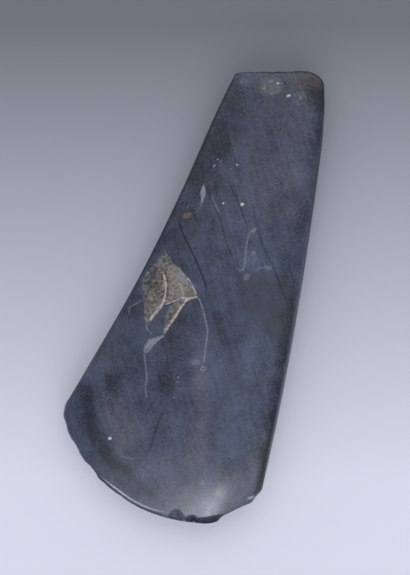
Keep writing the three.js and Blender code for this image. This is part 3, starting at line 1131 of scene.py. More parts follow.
@dataclass
class StoneRelief:
    """Fine relief over the whole blade: peck marks, the slow waves of hand grinding, broken grain.

    Every mark sinks into the stone, so the blade keeps its outer size.
    """

    pit_spacing: float = 1.15
    pit_radius: float = 0.75
    pit_depth: float = 0.16
    smallest_pit: float = 0.35
    pits_per_square_metre: float = 900000.0
    wave_size: float = 17.0
    wave_depth: float = 0.14
    grain_size: float = 1.7
    grain_depth: float = 0.3
    seed: int = 41

    def sizes(self) -> dict[str, float]:
        """The tree's named inputs for sizes, in metres.

        Returns:
            Each input's name with its value.
        """
        return {
            "Pit spacing": self.pit_spacing * METRES,
            "Pit radius": self.pit_radius * METRES,
            "Pit depth": self.pit_depth * METRES,
            "Wave size": self.wave_size * METRES,
            "Wave depth": self.wave_depth * METRES,
            "Grain size": self.grain_size * METRES,
            "Grain depth": self.grain_depth * METRES,
        }

    def tree(self) -> bpy.types.NodeTree:
        """Makes the node tree, with its sizes as named inputs.

        Returns:
            The tree.
        """
        tree = bpy.data.node_groups.new("stone_relief", "GeometryNodeTree")
        new_socket = tree.interface.new_socket
        new_socket(name="Geometry", in_out="INPUT", socket_type="NodeSocketGeometry")
        for name in self.sizes():
            new_socket(name=name, in_out="INPUT", socket_type="NodeSocketFloat")
        new_socket(name="Seed", in_out="INPUT", socket_type="NodeSocketInt")
        new_socket(name="Stone", in_out="INPUT", socket_type="NodeSocketMaterial")
        new_socket(name="Geometry", in_out="OUTPUT", socket_type="NodeSocketGeometry")
        given = add_node(tree, "NodeGroupInput").outputs
        peck, fracture, relief = [
            add_node(tree, "GeometryNodeInputNamedAttribute", {"Name": name}, data_type="FLOAT").outputs[0]
            for name in ("peck", Mark.FRACTURE.value, "relief")
        ]
        place = add_node(tree, "GeometryNodeInputPosition").outputs[0]
        pits = self.add_pits(tree, given, peck, place)
        wave = add_node(
            tree, "ShaderNodeTexNoise",
            {"Vector": place, "Scale": self.per_metre(tree, given["Wave size"]), "Detail": 2.0},
        )
        grain = add_node(
            tree, "ShaderNodeTexNoise",
            {
                "Vector": place, "Scale": self.per_metre(tree, given["Grain size"]),
                "Detail": 4.0, "Roughness": 0.62,
            },
        )
        sunk_pits = add_node(tree, "ShaderNodeMath", {0: pits, 1: given["Pit depth"]}, operation="MULTIPLY")
        sunk_waves = add_node(
            tree, "ShaderNodeMath", {0: wave.outputs[0], 1: given["Wave depth"], 2: sunk_pits.outputs[0]},
            operation="MULTIPLY_ADD",
        )
        broken = add_node(
            tree, "ShaderNodeMath", {0: fracture, 1: given["Grain depth"]}, operation="MULTIPLY"
        )
        sunk = add_node(
            tree, "ShaderNodeMath", {0: grain.outputs[0], 1: broken.outputs[0], 2: sunk_waves.outputs[0]},
            operation="MULTIPLY_ADD",
        )
        inward = add_node(tree, "ShaderNodeMath", {0: sunk.outputs[0], 1: relief}, operation="MULTIPLY")
        down = add_node(tree, "ShaderNodeMath", {0: inward.outputs[0], 1: -1.0}, operation="MULTIPLY")
        normal = add_node(tree, "GeometryNodeInputNormal").outputs[0]
        offset = add_node(
            tree, "ShaderNodeVectorMath", {0: normal, "Scale": down.outputs[0]}, operation="SCALE"
        )
        stored = add_node(
            tree, "GeometryNodeStoreNamedAttribute",
            {"Geometry": given["Geometry"], "Name": "pit", "Value": pits},
            data_type="FLOAT", domain="POINT",
        )
        moved = add_node(
            tree, "GeometryNodeSetPosition", {"Geometry": stored.outputs[0], "Offset": offset.outputs[0]}
        )
        real = add_node(tree, "GeometryNodeRealizeInstances", {"Geometry": moved.outputs[0]})
        dressed = add_node(
            tree, "GeometryNodeSetMaterial", {"Geometry": real.outputs[0], "Material": given["Stone"]}
        )
        add_node(tree, "NodeGroupOutput", {0: dressed.outputs[0]})
        return tree

    def per_metre(self, tree: bpy.types.NodeTree, size: bpy.types.NodeSocket) -> bpy.types.NodeSocket:
        """A noise scale, from the size of one lump in metres."""
        return add_node(tree, "ShaderNodeMath", {0: 1.0, 1: size}, operation="DIVIDE").outputs[0]

    def add_pits(
        self, tree: bpy.types.NodeTree, given: bpy.types.NodeOutputs, peck: bpy.types.NodeSocket,
        place: bpy.types.NodeSocket,
    ) -> bpy.types.NodeSocket:
        """Scatters peck marks where the stone was pecked, each with its own size.

        Args:
            tree: the tree that they go into.
            given: the tree's inputs.
            peck: how thickly they lie at each point, from 0 to 1.
            place: where each point of the stone is.

        Returns:
            How far each point is down into a mark, from 0 to 1.
        """
        scattered = add_node(
            tree, "GeometryNodeDistributePointsOnFaces",
            {
                "Mesh": given["Geometry"], "Distance Min": given["Pit spacing"],
                "Density Max": self.pits_per_square_metre, "Density Factor": peck, "Seed": given["Seed"],
            },
            distribute_method="POISSON",
        ).outputs[0]
        away = add_node(
            tree, "GeometryNodeProximity", {0: scattered}, target_element="POINTS"
        ).outputs["Distance"]
        nearest = add_node(
            tree, "GeometryNodeSampleNearest", {"Geometry": scattered, "Sample Position": place}
        )
        size = add_node(
            tree, "FunctionNodeRandomValue", {2: self.smallest_pit, 3: 1.0, "Seed": given["Seed"]},
            data_type="FLOAT",
        ).outputs[1]
        own_size = add_node(
            tree, "GeometryNodeSampleIndex",
            {"Geometry": scattered, "Value": size, "Index": nearest.outputs[0]}, data_type="FLOAT",
        ).outputs[0]
        radius = add_node(
            tree, "ShaderNodeMath", {0: own_size, 1: given["Pit radius"]}, operation="MULTIPLY"
        )
        share = add_node(tree, "ShaderNodeMath", {0: away, 1: radius.outputs[0]}, operation="DIVIDE")
        bowl = add_node(
            tree, "ShaderNodeMapRange",
            {"Value": share.outputs[0], "From Min": 1.0, "From Max": 0.0},
            interpolation_type="SMOOTHSTEP",
        ).outputs[0]
        return add_node(tree, "ShaderNodeMath", {0: bowl, 1: own_size}, operation="MULTIPLY").outputs[0]

    def carve(self, stone: bpy.types.Object, material: bpy.types.Material) -> None:
        """Works the relief into a mesh and leaves it a plain mesh with its material.

        Args:
            stone: the object that is carved.
            material: its finish.
        """
        tree = self.tree()
        modifier = stone.modifiers.new("stone_relief", "NODES")
        modifier.node_group = tree
        values = {**self.sizes(), "Seed": self.seed, "Stone": material}
        for item in tree.interface.items_tree:
            if item.in_out == "INPUT" and item.name in values:
                modifier[item.identifier] = values[item.name]
        graph = bpy.context.evaluated_depsgraph_get()
        carved = bpy.data.meshes.new_from_object(
            stone.evaluated_get(graph), preserve_all_data_layers=True, depsgraph=graph
        )
        plain = stone.data
        stone.modifiers.remove(modifier)
        stone.data = carved
        bpy.data.meshes.remove(plain)


# A colour, a roughness and a shine
Look = tuple[bpy.types.NodeSocket, bpy.types.NodeSocket, bpy.types.NodeSocket]


@dataclass(frozen=True)
class Layer:
    """A colour that a mark lays over the stone.

    Args:
        mark: the attribute that it follows.
        colour: its sRGB hex colour.
        start: the mark's strength at which it starts to show.
        full: the strength at which it shows fully.
        cover: how much of the stone it hides there.
        ragged: how unevenly its border runs.
        roughness: the surface roughness that it brings.
        fine: whether its border follows the stone's fine grain rather than its mottling.
        shine: how strongly it reflects, where 0.5 is bare stone.
    """

    mark: Mark
    colour: str
    start: float
    full: float
    cover: float
    ragged: float = 0.0
    roughness: float = 0.4
    fine: bool = False
    shine: float = 0.5


@dataclass(frozen=True)
class PolishedJadeite:
    """Jadeite, dark blue-grey, ground and hand polished, weathered and stained in the ground.

    The polish gives a broad soft sheen with clouded blue-grey depth under it. Flake scars are matt
    and grey-brown, because a broken surface scatters the light and holds soil. The butt was pecked,
    which makes it dull, and ochre earth stays in it.
    """

    deep: str = "171d2a"
    cloud: str = "545e76"
    warm: str = "4c4a4b"
    cool: str = "303c52"
    scar_dark: str = "3a3835"
    scar_pale: str = "9c958d"
    ior: float = 1.66
    shine: float = 0.5
    polish: float = 0.3
    polish_spread: tuple[float, float] = (-0.05, 0.07)
    scar_roughness: float = 0.75
    scar_shine: float = 0.4
    # Sizes of one lump of each pattern
    cloud_size: float = 26.0
    mottle_size: float = 6.0
    grain_size: float = 0.9
    streak_size: float = 1.6
    streak_stretch: float = 14.0
    streak_turn: float = 34.0
    scar_grain_size: float = 1.3
    scar_patch_size: float = 2.6
    # How much each pattern counts for in the tone, and half the range that the tone runs over
    cloud_share: float = 0.9
    mottle_share: float = 0.8
    grain_share: float = 1.7
    streak_share: float = 0.75
    tone_reach: float = 0.6
    # How far parts of the stone may turn browner or bluer
    cloud_warmth: float = 1.2
    warm_from: tuple[float, float] = (0.6, 1.4)
    cool_from: tuple[float, float] = (0.55, 0.0)
    hue_share: float = 0.5
    # The same for the scar floors, and how ragged their borders are
    scar_grain_share: float = 2.8
    scar_patch_share: float = 0.7
    scar_tones: tuple[float, float] = (1.3, 2.3)
    scar_raggedness: float = 3.0
    scar_border: tuple[float, float] = (0.38, 0.62)
    # Relief that is too fine for the mesh, in millimetres
    polish_bump: float = 0.3
    polish_bump_strength: float = 0.06
    scar_bump: float = 0.8
    layers: tuple[Layer, ...] = (
        Layer(Mark.OLIVE, "373b3e", 0.2, 1.6, 0.75, 3.5, 0.38, fine=True),
        Layer(Mark.OCHRE, "554b37", 0.2, 1.1, 0.82, 5.0, 0.5, fine=True),
        # The vein colour also paints the highlight line along the cutting edge, and the break colour, with
        # its low shine, the dark band of shade under it
        Layer(Mark.VEIN_AND_GLINT, "a8acb2", 0.1, 0.95, 0.85, 1.6, 0.5, fine=True),
        Layer(Mark.BREAK_AND_EDGE_SHADE, "161c29", 0.3, 0.75, 0.9, 0.3, 0.45, shine=0.3),
    )
    over_scars: tuple[Layer, ...] = (
        Layer(Mark.BLUE, "8a8f97", 0.2, 1.0, 0.72, 3.2, 0.45),
        Layer(Mark.CRACK, "0b0f18", 0.12, 0.85, 0.9, 1.5, 0.5, shine=0.1),
        Layer(Mark.RIDGE, "d2c8be", 0.2, 1.0, 1.0, 4.5, 0.65),
        Layer(Mark.RUST, "75655a", 0.2, 0.95, 0.75, 3.5, 0.6),
        # The spot colour also paints the brightest part of the highlight line along the cutting edge
        Layer(Mark.SPOT, "dadad7", 0.15, 0.85, 0.9, 0.6, 0.5),
    )

    def material(self) -> bpy.types.Material:
        """Makes the material.

        Returns:
            The material, with its node tree.
        """
        material = bpy.data.materials.new("polished_jadeite")
        material.use_nodes = True
        tree = material.node_tree
        tree.nodes.clear()
        place = add_node(tree, "ShaderNodeTexCoord").outputs["Object"]
        clouds = self.noise(tree, place, self.cloud_size, 5.0, 0.62)
        mottle = self.noise(tree, place, self.mottle_size, 4.0, 0.6)
        grain = self.noise(tree, place, self.grain_size, 3.0, 0.65)
        streaks = self.streaks(tree, place)
        shares = (self.cloud_share, self.mottle_share, self.grain_share, self.streak_share)
        tone = self.tone(tree, tuple(zip((clouds, mottle, grain, streaks), shares)))
        colour = add_node(
            tree, "ShaderNodeMix", {0: tone, 6: linear(self.deep), 7: linear(self.cloud)}, data_type="RGBA"
        ).outputs[2]
        colour = self.hue(tree, colour, clouds)
        smoothest, dullest = [self.polish + spread for spread in self.polish_spread]
        roughness = add_node(
            tree, "ShaderNodeMapRange",
            {
                "Value": mottle, "From Min": 0.3, "From Max": 0.7,
                "To Min": smoothest, "To Max": dullest,
            },
        ).outputs[0]
        # The shine varies over the stone, because cracks and breaks hardly reflect; the low shine of the
        # break layer also darkens the painted band of shade along the cutting edge
        shine = add_node(tree, "ShaderNodeValue").outputs[0]
        shine.default_value = self.shine
        look = (colour, roughness, shine)
        for layer in self.layers:
            look = self.lay(tree, layer, grain if layer.fine else mottle, look)
        look, broken, speckle = self.scars(tree, place, look)
        for layer in self.over_scars:
            look = self.lay(tree, layer, speckle, look)
        colour, roughness, shine = look
        bump = add_node(
            tree, "ShaderNodeBump",
            {
                "Height": grain, "Strength": self.polish_bump_strength,
                "Distance": self.polish_bump * METRES,
            },
        ).outputs[0]
        bump = add_node(
            tree, "ShaderNodeBump",
            {"Height": speckle, "Strength": broken, "Distance": self.scar_bump * METRES, "Normal": bump},
        ).outputs[0]
        shader = add_node(
            tree, "ShaderNodeBsdfPrincipled",
            {
                "Base Color": colour, "Roughness": roughness, "IOR": self.ior,
                "Specular IOR Level": shine, "Normal": bump,
            },
        )
        add_node(tree, "ShaderNodeOutputMaterial", {"Surface": shader.outputs[0]})
        return material

    def noise(
        self, tree: bpy.types.NodeTree, place: bpy.types.NodeSocket, size: float, detail: float,
        rough: float,
    ) -> bpy.types.NodeSocket:
        """A noise pattern whose lumps are of one size.

        Args:
            tree: the material's tree.
            place: the Object coordinates.
            size: the size of one lump in millimetres.
            detail: how many finer octaves it has.
            rough: how strong the finer ones are.

        Returns:
            The pattern, around 0.5.
        """
        values = {"Vector": place, "Scale": 1.0 / (size * METRES), "Detail": detail, "Roughness": rough}
        return add_node(tree, "ShaderNodeTexNoise", values).outputs[0]

    def mark(self, tree: bpy.types.NodeTree, name: str) -> bpy.types.NodeSocket:
        """An attribute of the mesh as a number."""
        return add_node(tree, "ShaderNodeAttribute", attribute_name=name).outputs["Fac"]

    def streaks(self, tree: bpy.types.NodeTree, place: bpy.types.NodeSocket) -> bpy.types.NodeSocket:
        """Makes the faint streaks that run through the stone the way that its cracks do.

        Args:
            tree: the material's tree.
            place: the Object coordinates.

        Returns:
            The pattern, around 0.5.
        """
        turned = add_node(
            tree, "ShaderNodeVectorRotate",
            {"Vector": place, "Angle": math.radians(-self.streak_turn)}, rotation_type="Z_AXIS",
        ).outputs[0]
        drawn = add_node(
            tree, "ShaderNodeVectorMath", {0: turned, 1: (1.0, 1.0 / self.streak_stretch, 1.0)},
            operation="MULTIPLY",
        ).outputs[0]
        return self.noise(tree, drawn, self.streak_size, 3.0, 0.6)

    def tone(
        self, tree: bpy.types.NodeTree, patterns: tuple[tuple[bpy.types.NodeSocket, float], ...]
    ) -> bpy.types.NodeSocket:
        """How light the stone is: the sum of its patterns and the drawn shade.

        Args:
            tree: the material's tree.
            patterns: each pattern and how much it counts for.

        Returns:
            A number, 0 for the deep colour and 1 for the clouded one.
        """
        total = self.mark(tree, Mark.SHADE.value)
        for pattern, amount in patterns:
            total = add_node(
                tree, "ShaderNodeMath", {0: pattern, 1: amount, 2: total}, operation="MULTIPLY_ADD"
            ).outputs[0]
        middle = sum(amount for _, amount in patterns) / 2
        return add_node(
            tree, "ShaderNodeMapRange",
            {"Value": total, "From Min": middle - self.tone_reach, "From Max": middle + self.tone_reach},
        ).outputs[0]

    def hue(
        self, tree: bpy.types.NodeTree, colour: bpy.types.NodeSocket, clouds: bpy.types.NodeSocket
    ) -> bpy.types.NodeSocket:
        """Turns parts of the stone browner or bluer.

        Args:
            tree: the material's tree.
            colour: the stone's colour so far.
            clouds: the broad pattern.

        Returns:
            The colour with its hue varied.
        """
        warm = add_node(
            tree, "ShaderNodeMath",
            {0: clouds, 1: self.cloud_warmth, 2: self.mark(tree, Mark.WARM.value)},
            operation="MULTIPLY_ADD",
        ).outputs[0]
        for (start, full), code in ((self.warm_from, self.warm), (self.cool_from, self.cool)):
            share = add_node(
                tree, "ShaderNodeMapRange",
                {"Value": warm, "From Min": start, "From Max": full, "To Max": self.hue_share},
            ).outputs[0]
            colour = add_node(
                tree, "ShaderNodeMix", {0: share, 6: colour, 7: linear(code)}, data_type="RGBA",
                blend_type="COLOR",
            ).outputs[2]
        return colour

    def lay(
        self, tree: bpy.types.NodeTree, layer: Layer, pattern: bpy.types.NodeSocket, look: Look,
    ) -> Look:
        """Lays one colour over the stone where its mark is.

        Args:
            tree: the material's tree.
            layer: the colour and its mark.
            pattern: what makes its border uneven.
            look: the colour, roughness and shine so far.

        Returns:
            The new colour, roughness and shine.
        """
        mark = self.mark(tree, layer.mark.value)
        level = add_node(
            tree, "ShaderNodeMath", {0: pattern, 1: layer.ragged, 2: -layer.ragged / 2},
            operation="MULTIPLY_ADD",
        ).outputs[0]
        # The uneven border scales with the mark, so that bare stone stays bare
        uneven = add_node(
            tree, "ShaderNodeMath", {0: mark, 1: level, 2: mark}, operation="MULTIPLY_ADD"
        )
        cover = add_node(
            tree, "ShaderNodeMapRange",
            {
                "Value": uneven.outputs[0], "From Min": layer.start, "From Max": layer.full,
                "To Max": layer.cover,
            },
        ).outputs[0]
        return self.blend(tree, cover, look, (linear(layer.colour), layer.roughness, layer.shine))

    def blend(
        self, tree: bpy.types.NodeTree, share: bpy.types.NodeSocket, look: Look,
        over: tuple[object, ...],
    ) -> Look:
        """Blends one look over another.

        Args:
            tree: the material's tree.
            share: how much of the upper one shows.
            look: the lower colour, roughness and shine.
            over: the upper ones.

        Returns:
            The blended colour, roughness and shine.
        """
        colour = add_node(tree, "ShaderNodeMix", {0: share, 6: look[0], 7: over[0]}, data_type="RGBA")
        numbers = [
            add_node(tree, "ShaderNodeMix", {0: share, 2: below, 3: above}, data_type="FLOAT").outputs[0]
            for below, above in zip(look[1:], over[1:])
        ]
        return colour.outputs[2], *numbers

    def scars(
        self, tree: bpy.types.NodeTree, place: bpy.types.NodeSocket, look: Look,
    ) -> tuple[Look, bpy.types.NodeSocket, bpy.types.NodeSocket]:
        """Lays the rough grey-brown floors of the flake scars over the polished stone.

        Args:
            tree: the material's tree.
            place: the Object coordinates.
            look: the colour, roughness and shine so far.

        Returns:
            The new look, where the scars are, and their fine pattern.
        """
        speckle = self.noise(tree, place, self.scar_grain_size, 5.0, 0.75)
        patchy = self.noise(tree, place, self.scar_patch_size, 3.0, 0.6)
        total = self.mark(tree, Mark.SHADE.value)
        for pattern, amount in ((speckle, self.scar_grain_share), (patchy, self.scar_patch_share)):
            total = add_node(
                tree, "ShaderNodeMath", {0: pattern, 1: amount, 2: total}, operation="MULTIPLY_ADD"
            ).outputs[0]
        share = add_node(
            tree, "ShaderNodeMapRange",
            {"Value": total, "From Min": self.scar_tones[0], "From Max": self.scar_tones[1]},
        ).outputs[0]
        floor = add_node(
            tree, "ShaderNodeMix", {0: share, 6: linear(self.scar_dark), 7: linear(self.scar_pale)},
            data_type="RGBA",
        ).outputs[2]
        fracture = self.mark(tree, Mark.FRACTURE.value)
        border = add_node(
            tree, "ShaderNodeMath",
            {0: speckle, 1: self.scar_raggedness, 2: -self.scar_raggedness / 2}, operation="MULTIPLY_ADD",
        ).outputs[0]
        uneven = add_node(
            tree, "ShaderNodeMath", {0: fracture, 1: border, 2: fracture}, operation="MULTIPLY_ADD"
        ).outputs[0]
        where = add_node(
            tree, "ShaderNodeMapRange",
            {"Value": uneven, "From Min": self.scar_border[0], "From Max": self.scar_border[1]},
        ).outputs[0]
        over = (floor, self.scar_roughness, self.scar_shine)
        return self.blend(tree, where, look, over), where, speckle


@dataclass
class AxeHead:
    """The blade: two ground faces, an upright rim, chips, flake scars and everything marked on it."""

    plan: BladePlan = field(default_factory=BladePlan)
    faces: GroundFaces = field(default_factory=GroundFaces)
    relief: StoneRelief = field(default_factory=StoneRelief)
    flat_spot_depth: float = 0.45
    rim_lines: tuple[float, ...] = (0.25, 0.5, 0.75)
    peck_band: float = 7.0
    rim_reach_under: float = 5.0
    # Painted shade along the left and right rims: how much darker, and how far in it runs
    rim_painted_shade_strength: float = 0.9
    rim_painted_shade_run: float = 1.6
    scattered_pecks: float = 0.004
    deepest_under_middle: float = 0.2
    floor_clearance: float = 0.3
    calm_edge: float = 1.5
    sharp_above: float = 38.0
    plan_points: np.ndarray = field(init=False)
    inward: dict[str, np.ndarray] = field(init=False)
    edge_length: float = field(init=False)
    edge_place: np.ndarray = field(init=False)
    edge_inward: np.ndarray = field(init=False)

    def __post_init__(self) -> None:
        """Lays out the grid and bites the chips out of the cutting edge."""
        self.plan_points = self.plan.points.copy()
        self.inward = self.plan.distances_in()
        edge = self.plan_points[0]
        steps = np.linalg.norm(np.diff(edge, axis=0), axis=1)
        self.edge_length = float(steps.sum())
        self.edge_place = np.concatenate([[0.0], np.cumsum(steps)]) / self.edge_length
        tangent = np.gradient(edge, axis=0)
        tangent /= np.linalg.norm(tangent, axis=1)[:, None]
        self.edge_inward = np.stack([-tangent[:, 1], tangent[:, 0]], axis=1)
        for chip in CHIPS:
            chip.bite(self)

    def build(self, material: bpy.types.Material) -> bpy.types.Object:
        """Makes the finished blade.

        Args:
            material: its finish.

        Returns:
            The object, riding on the root body in place of its CAD node.
        """
        vertices, faces, marks = self.skin()
        mesh = bpy.data.meshes.new("axe_head_stone")
        mesh.from_pydata((vertices * METRES).tolist(), [], faces)
        for name, values in marks.items():
            attribute = mesh.attributes.new(name, "FLOAT", "POINT")
            attribute.data.foreach_set("value", np.ascontiguousarray(values, np.float32))
        mesh.shade_smooth()
        mesh.update()
        stone = bpy.data.objects.new("axe_head_stone", mesh)
        bpy.context.scene.collection.objects.link(stone)
        self.relief.carve(stone, material)
        stone.data.set_sharp_from_angle(angle=math.radians(self.sharp_above))
        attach(stone, "root")
        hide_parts("axe_head")
        return stone

    def skin(self) -> tuple[np.ndarray, list[tuple[int, ...]], dict[str, np.ndarray]]:
        """Makes the closed skin of the blade.

        Returns:
            The points in millimetres, the faces, and the marks at each point by name.
        """
        plan = self.plan_points
        half = self.faces.half_thickness(plan[:, :, 1], self.inward)
        top_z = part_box("axe_head")[1].z / METRES
        middle = (top_z - self.flat_spot_depth) / 2
        half = half * (top_z - middle) / half.max()
        surface = MarkedSurface(plan.reshape(-1, 2))
        for group in (SCARS, BREAKS, RIDGES, CRACKS, VEINS_AND_PAINTED_EDGE_LINES, PATCHES, SPOTS):
            for item in group:
                item.draw(surface)
        # Painted shade: the tone darkens towards the left and right rims, where the steep sides look dark
        from_rim = np.minimum(self.inward["left"], self.inward["right"]).ravel()
        painted_rim_shade = 1.0 - smoothstep(from_rim, 0.0, self.rim_painted_shade_run)
        surface.marks[Mark.SHADE] -= self.rim_painted_shade_strength * painted_rim_shade
        lowered = np.minimum(surface.lower.reshape(half.shape), half + self.deepest_under_middle)
        upper = np.dstack([plan, middle + half - lowered])
        under = np.dstack([plan, np.maximum(0.0, middle - half)])
        numbers = np.arange(upper[:, :, 0].size).reshape(half.shape)
        border = self.border(numbers)
        upper_flat, under_flat = upper.reshape(-1, 3), under.reshape(-1, 3)
        drop = under_flat[border] - upper_flat[border]
        loops = [upper_flat[border] + drop * share for share in self.rim_lines]
        coarse = numbers[::2, ::2]
        vertices = np.vstack([upper_flat, *loops, under_flat[coarse.ravel()]])
        faces = self.sheet_faces(numbers)
        loop_numbers = [border]
        for index in range(len(loops)):
            loop_numbers.append(len(upper_flat) + index * len(border) + np.arange(len(border)))
        for high, low in zip(loop_numbers[:-1], loop_numbers[1:]):
            faces += self.band_faces(low, high)
        first = len(upper_flat) + len(loops) * len(border)
        under_numbers = first + np.arange(coarse.size).reshape(coarse.shape)
        faces += self.sheet_faces(under_numbers[:, ::-1])
        faces += self.seam_faces(self.border(under_numbers), loop_numbers[-1])
        marks = self.all_marks(surface, border, len(loops), coarse, under_flat)
        return vertices, faces, marks

    def border(self, numbers: np.ndarray) -> np.ndarray:
        """The border of a grid of point numbers, once round against the clock from above."""
        return np.concatenate([numbers[0, :-1], numbers[:-1, -1], numbers[-1, :0:-1], numbers[:0:-1, 0]])

    def all_marks(
        self, surface: MarkedSurface, border: np.ndarray, loops: int, coarse: np.ndarray,
        under: np.ndarray,
    ) -> dict[str, np.ndarray]:
        """Gives every point of the skin its marks; the rim and the underside are plainer.

        Args:
            surface: the marked upper face.
            border: the numbers of the upper face's border points.
            loops: how many lines of points the rim has.
            coarse: the numbers of the grid points that the underside uses.
            under: the underside's points at every grid point.

        Returns:
            One array for each mark.
        """
        rim_share = {Mark.OCHRE: 0.8, Mark.BREAK_AND_EDGE_SHADE: 1.0, Mark.WARM: 1.0, Mark.SHADE: 1.0}
        nearest_rim = np.minimum.reduce(list(self.inward.values())).ravel()[coarse.ravel()]
        under_share = 1.0 - smoothstep(nearest_rim, 0.0, self.rim_reach_under)
        marks = {}
        for mark, values in surface.marks.items():
            carried = values * rim_share.get(mark, 0.0)
            rim = np.tile(carried[border], loops)
            marks[mark.value] = np.concatenate([values, rim, carried[coarse.ravel()] * under_share])
        from_butt = self.inward["butt"].ravel()
        pecked = 1.0 - smoothstep(from_butt, 0.0, self.peck_band)
        peck = np.maximum(pecked, self.scattered_pecks)
        marks["peck"] = np.concatenate([peck, np.tile(peck[border], loops), peck[coarse.ravel()]])
        off_floor = smoothstep(under[coarse.ravel(), 2], 0.0, self.floor_clearance)
        edge_calm = smoothstep(self.inward["edge"].ravel(), 0.0, self.calm_edge)
        relief = [edge_calm, np.tile(edge_calm[border], loops), off_floor * edge_calm[coarse.ravel()]]
        marks["relief"] = np.concatenate(relief)
        return marks

    def sheet_faces(self, numbers: np.ndarray) -> list[tuple[int, ...]]:
        """The four-sided faces of a grid of point numbers, seen from the side they face."""
        corners = (numbers[:-1, :-1], numbers[:-1, 1:], numbers[1:, 1:], numbers[1:, :-1])
        return list(zip(*[corner.ravel().tolist() for corner in corners]))

    def band_faces(self, low: np.ndarray, high: np.ndarray) -> list[tuple[int, ...]]:
        """The faces between two closed loops of as many points."""
        corners = (low, np.roll(low, -1), np.roll(high, -1), high)
        return list(zip(*[corner.tolist() for corner in corners]))

    def seam_faces(self, low: np.ndarray, high: np.ndarray) -> list[tuple[int, ...]]:
        """Makes the faces between a loop and one above it that has twice as many points.

        Args:
            low: the lower loop's point numbers.
            high: the upper loop's point numbers.

        Returns:
            The faces, three to each gap of the lower loop.
        """
        low_next, high_next = np.roll(low, -1), np.roll(high[::2], -1)
        first = zip(low.tolist(), high[1::2].tolist(), high[::2].tolist())
        second = zip(low.tolist(), low_next.tolist(), high[1::2].tolist())
        third = zip(low_next.tolist(), high_next.tolist(), high[1::2].tolist())
        return [*first, *second, *third]


@dataclass(frozen=True)
class Glow:
    """A broad glow in the studio's air, as from a large white sheet that light falls on.

    Args:
        tilt: how far it is from straight overhead, in degrees.
        turn: its direction round the blade, 0 at the top of the camera's view and clockwise, in degrees.
        strength: how bright its middle is.
        inner: how far from its middle it is still full, in degrees.
        outer: how far from its middle it ends, in degrees.
    """

    tilt: float
    turn: float
    strength: float
    inner: float
    outer: float

    def direction(self, view_turn: float) -> tuple[float, float, float]:
        """The unit vector towards its middle, where the camera's top is turned from +Y."""
        tilt, turn = math.radians(self.tilt), math.radians(self.turn - view_turn)
        return math.sin(tilt) * math.sin(turn), math.sin(tilt) * math.cos(turn), math.cos(tilt)


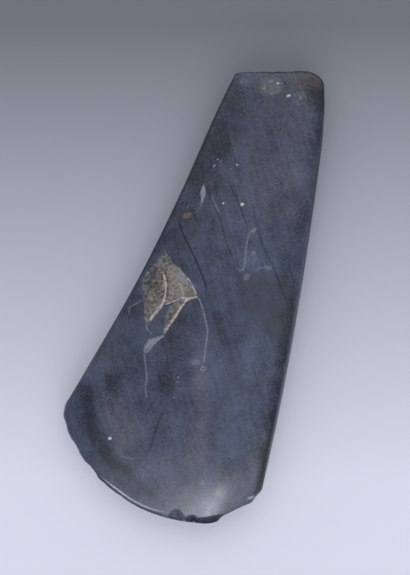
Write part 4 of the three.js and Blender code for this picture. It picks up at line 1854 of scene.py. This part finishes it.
@dataclass
class Stage:
    """The pale floor, the soft lights and the camera over the blade."""

    floor_size: float = 3.0
    floor_near: str = "eeeff8"
    floor_far: str = "7f8287"
    floor_roughness: float = 0.9
    floor_shine: float = 0.1
    # Where the paper is palest and where it is darkest, along the camera's upward way
    floor_fade: tuple[float, float] = (-82.0, 114.0)
    view_centre: Point = (-4.03, -1.21)
    view_turn: float = 17.8
    view_height: float = 245.7
    camera_distance: float = 1.2
    sensor: float = 36.0
    view_limits: tuple[float, float] = (0.05, 20.0)
    blade_middle: float = 10.0
    soft_light_from: tuple[float, float, float] = (0.40, -0.96, 1.06)
    soft_light_size: float = 0.4
    soft_light_power: float = 4.6
    soft_light_colour: str = "f4f6ff"
    air_colour: str = "eceef8"
    air_strength: float = 0.36
    glows: tuple[Glow, ...] = (
        Glow(tilt=56.0, turn=176.0, strength=1.15, inner=15.0, outer=48.0),
        Glow(tilt=62.0, turn=0.0, strength=0.9, inner=15.0, outer=60.0),
    )

    def build(self) -> None:
        """Makes the floor, the air, the light and the camera."""
        scene = bpy.context.scene
        scene.view_settings.view_transform = "Standard"
        self.add_floor()
        self.add_light()
        world = bpy.data.worlds.new("studio_air")
        world.use_nodes = True
        world.node_tree.nodes.clear()
        self.add_air(world.node_tree)
        scene.world = world
        self.add_camera()

    def add_air(self, tree: bpy.types.NodeTree) -> None:
        """Makes the even light from all round, with a broad glow beyond each end of the blade.

        Args:
            tree: the world's node tree.
        """
        way = add_node(tree, "ShaderNodeTexCoord").outputs["Generated"]
        strength = self.air_strength
        for glow in self.glows:
            towards = add_node(
                tree, "ShaderNodeVectorMath", {0: way, 1: glow.direction(self.view_turn)},
                operation="DOT_PRODUCT",
            )
            share = add_node(
                tree, "ShaderNodeMapRange",
                {
                    "Value": towards.outputs["Value"],
                    "From Min": math.cos(math.radians(glow.outer)),
                    "From Max": math.cos(math.radians(glow.inner)),
                },
                interpolation_type="SMOOTHSTEP",
            ).outputs[0]
            strength = add_node(
                tree, "ShaderNodeMath", {0: share, 1: glow.strength, 2: strength}, operation="MULTIPLY_ADD"
            ).outputs[0]
        air = add_node(
            tree, "ShaderNodeBackground", {"Color": linear(self.air_colour), "Strength": strength}
        )
        add_node(tree, "ShaderNodeOutputWorld", {"Surface": air.outputs[0]})

    def add_floor(self) -> None:
        """Makes the floor, a sheet of pale paper that darkens evenly towards its far end."""
        half = self.floor_size / 2
        mesh = bpy.data.meshes.new("studio_floor")
        corners = [(-half, -half, 0.0), (half, -half, 0.0), (half, half, 0.0), (-half, half, 0.0)]
        mesh.from_pydata(corners, [], [(0, 1, 2, 3)])
        floor = bpy.data.objects.new("studio_floor", mesh)
        bpy.context.scene.collection.objects.link(floor)
        # Matt uncoated paper, which has no sheen and takes only the blade's soft shade
        paper = bpy.data.materials.new("graduated_paper")
        paper.use_nodes = True
        tree = paper.node_tree
        place = add_node(tree, "ShaderNodeTexCoord").outputs["Object"]
        turn = math.radians(self.view_turn)
        upward = (-math.sin(turn), math.cos(turn), 0.0)
        along = add_node(tree, "ShaderNodeVectorMath", {0: place, 1: upward}, operation="DOT_PRODUCT")
        near, far = self.floor_fade
        fade = add_node(
            tree, "ShaderNodeMapRange",
            {"Value": along.outputs["Value"], "From Min": near * METRES, "From Max": far * METRES},
        )
        colours = {0: fade.outputs[0], 6: linear(self.floor_near), 7: linear(self.floor_far)}
        colour = add_node(tree, "ShaderNodeMix", colours, data_type="RGBA")
        shader = tree.nodes["Principled BSDF"]
        tree.links.new(colour.outputs[2], shader.inputs["Base Color"])
        shader.inputs["Roughness"].default_value = self.floor_roughness
        shader.inputs["Specular IOR Level"].default_value = self.floor_shine
        mesh.materials.append(paper)

    def add_light(self) -> None:
        """Makes the one large soft light, beyond the cutting edge and above it."""
        light = bpy.data.lights.new("soft_light", "AREA")
        light.shape = "DISK"
        light.size = self.soft_light_size
        light.energy = self.soft_light_power
        light.color = linear(self.soft_light_colour)[:3]
        # The blade's own shade on the paper comes from the air alone
        light.use_shadow = False
        lamp = bpy.data.objects.new("soft_light", light)
        lamp.location = self.soft_light_from
        lamp.rotation_mode = "QUATERNION"
        towards = Vector((0.0, 0.0, 0.0)) - Vector(self.soft_light_from)
        lamp.rotation_quaternion = towards.to_track_quat("-Z", "Y")
        lamp.visible_camera = False
        bpy.context.scene.collection.objects.link(lamp)

    def add_camera(self) -> None:
        """Makes the camera, which looks straight down on the blade."""
        data = bpy.data.cameras.new("camera")
        data.sensor_width = self.sensor
        data.lens = self.sensor * self.camera_distance / (self.view_height * METRES)
        data.clip_start, data.clip_end = self.view_limits
        camera = bpy.data.objects.new("camera", data)
        x, y = self.view_centre
        camera.location = (x * METRES, y * METRES, self.blade_middle * METRES + self.camera_distance)
        camera.rotation_euler = (0.0, 0.0, math.radians(self.view_turn))
        bpy.context.scene.collection.objects.link(camera)
        bpy.context.scene.camera = camera


def main() -> None:
    """Builds the blade, then the stage round it."""
    logging.basicConfig(level=logging.INFO, format="%(message)s")
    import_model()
    stone = AxeHead().build(PolishedJadeite().material())
    LOG.info("axe_head_stone: %d points, %d faces", len(stone.data.vertices), len(stone.data.polygons))
    Stage().build()
    LOG.info("floor, light and camera made")


if __name__ == "__main__":
    main()
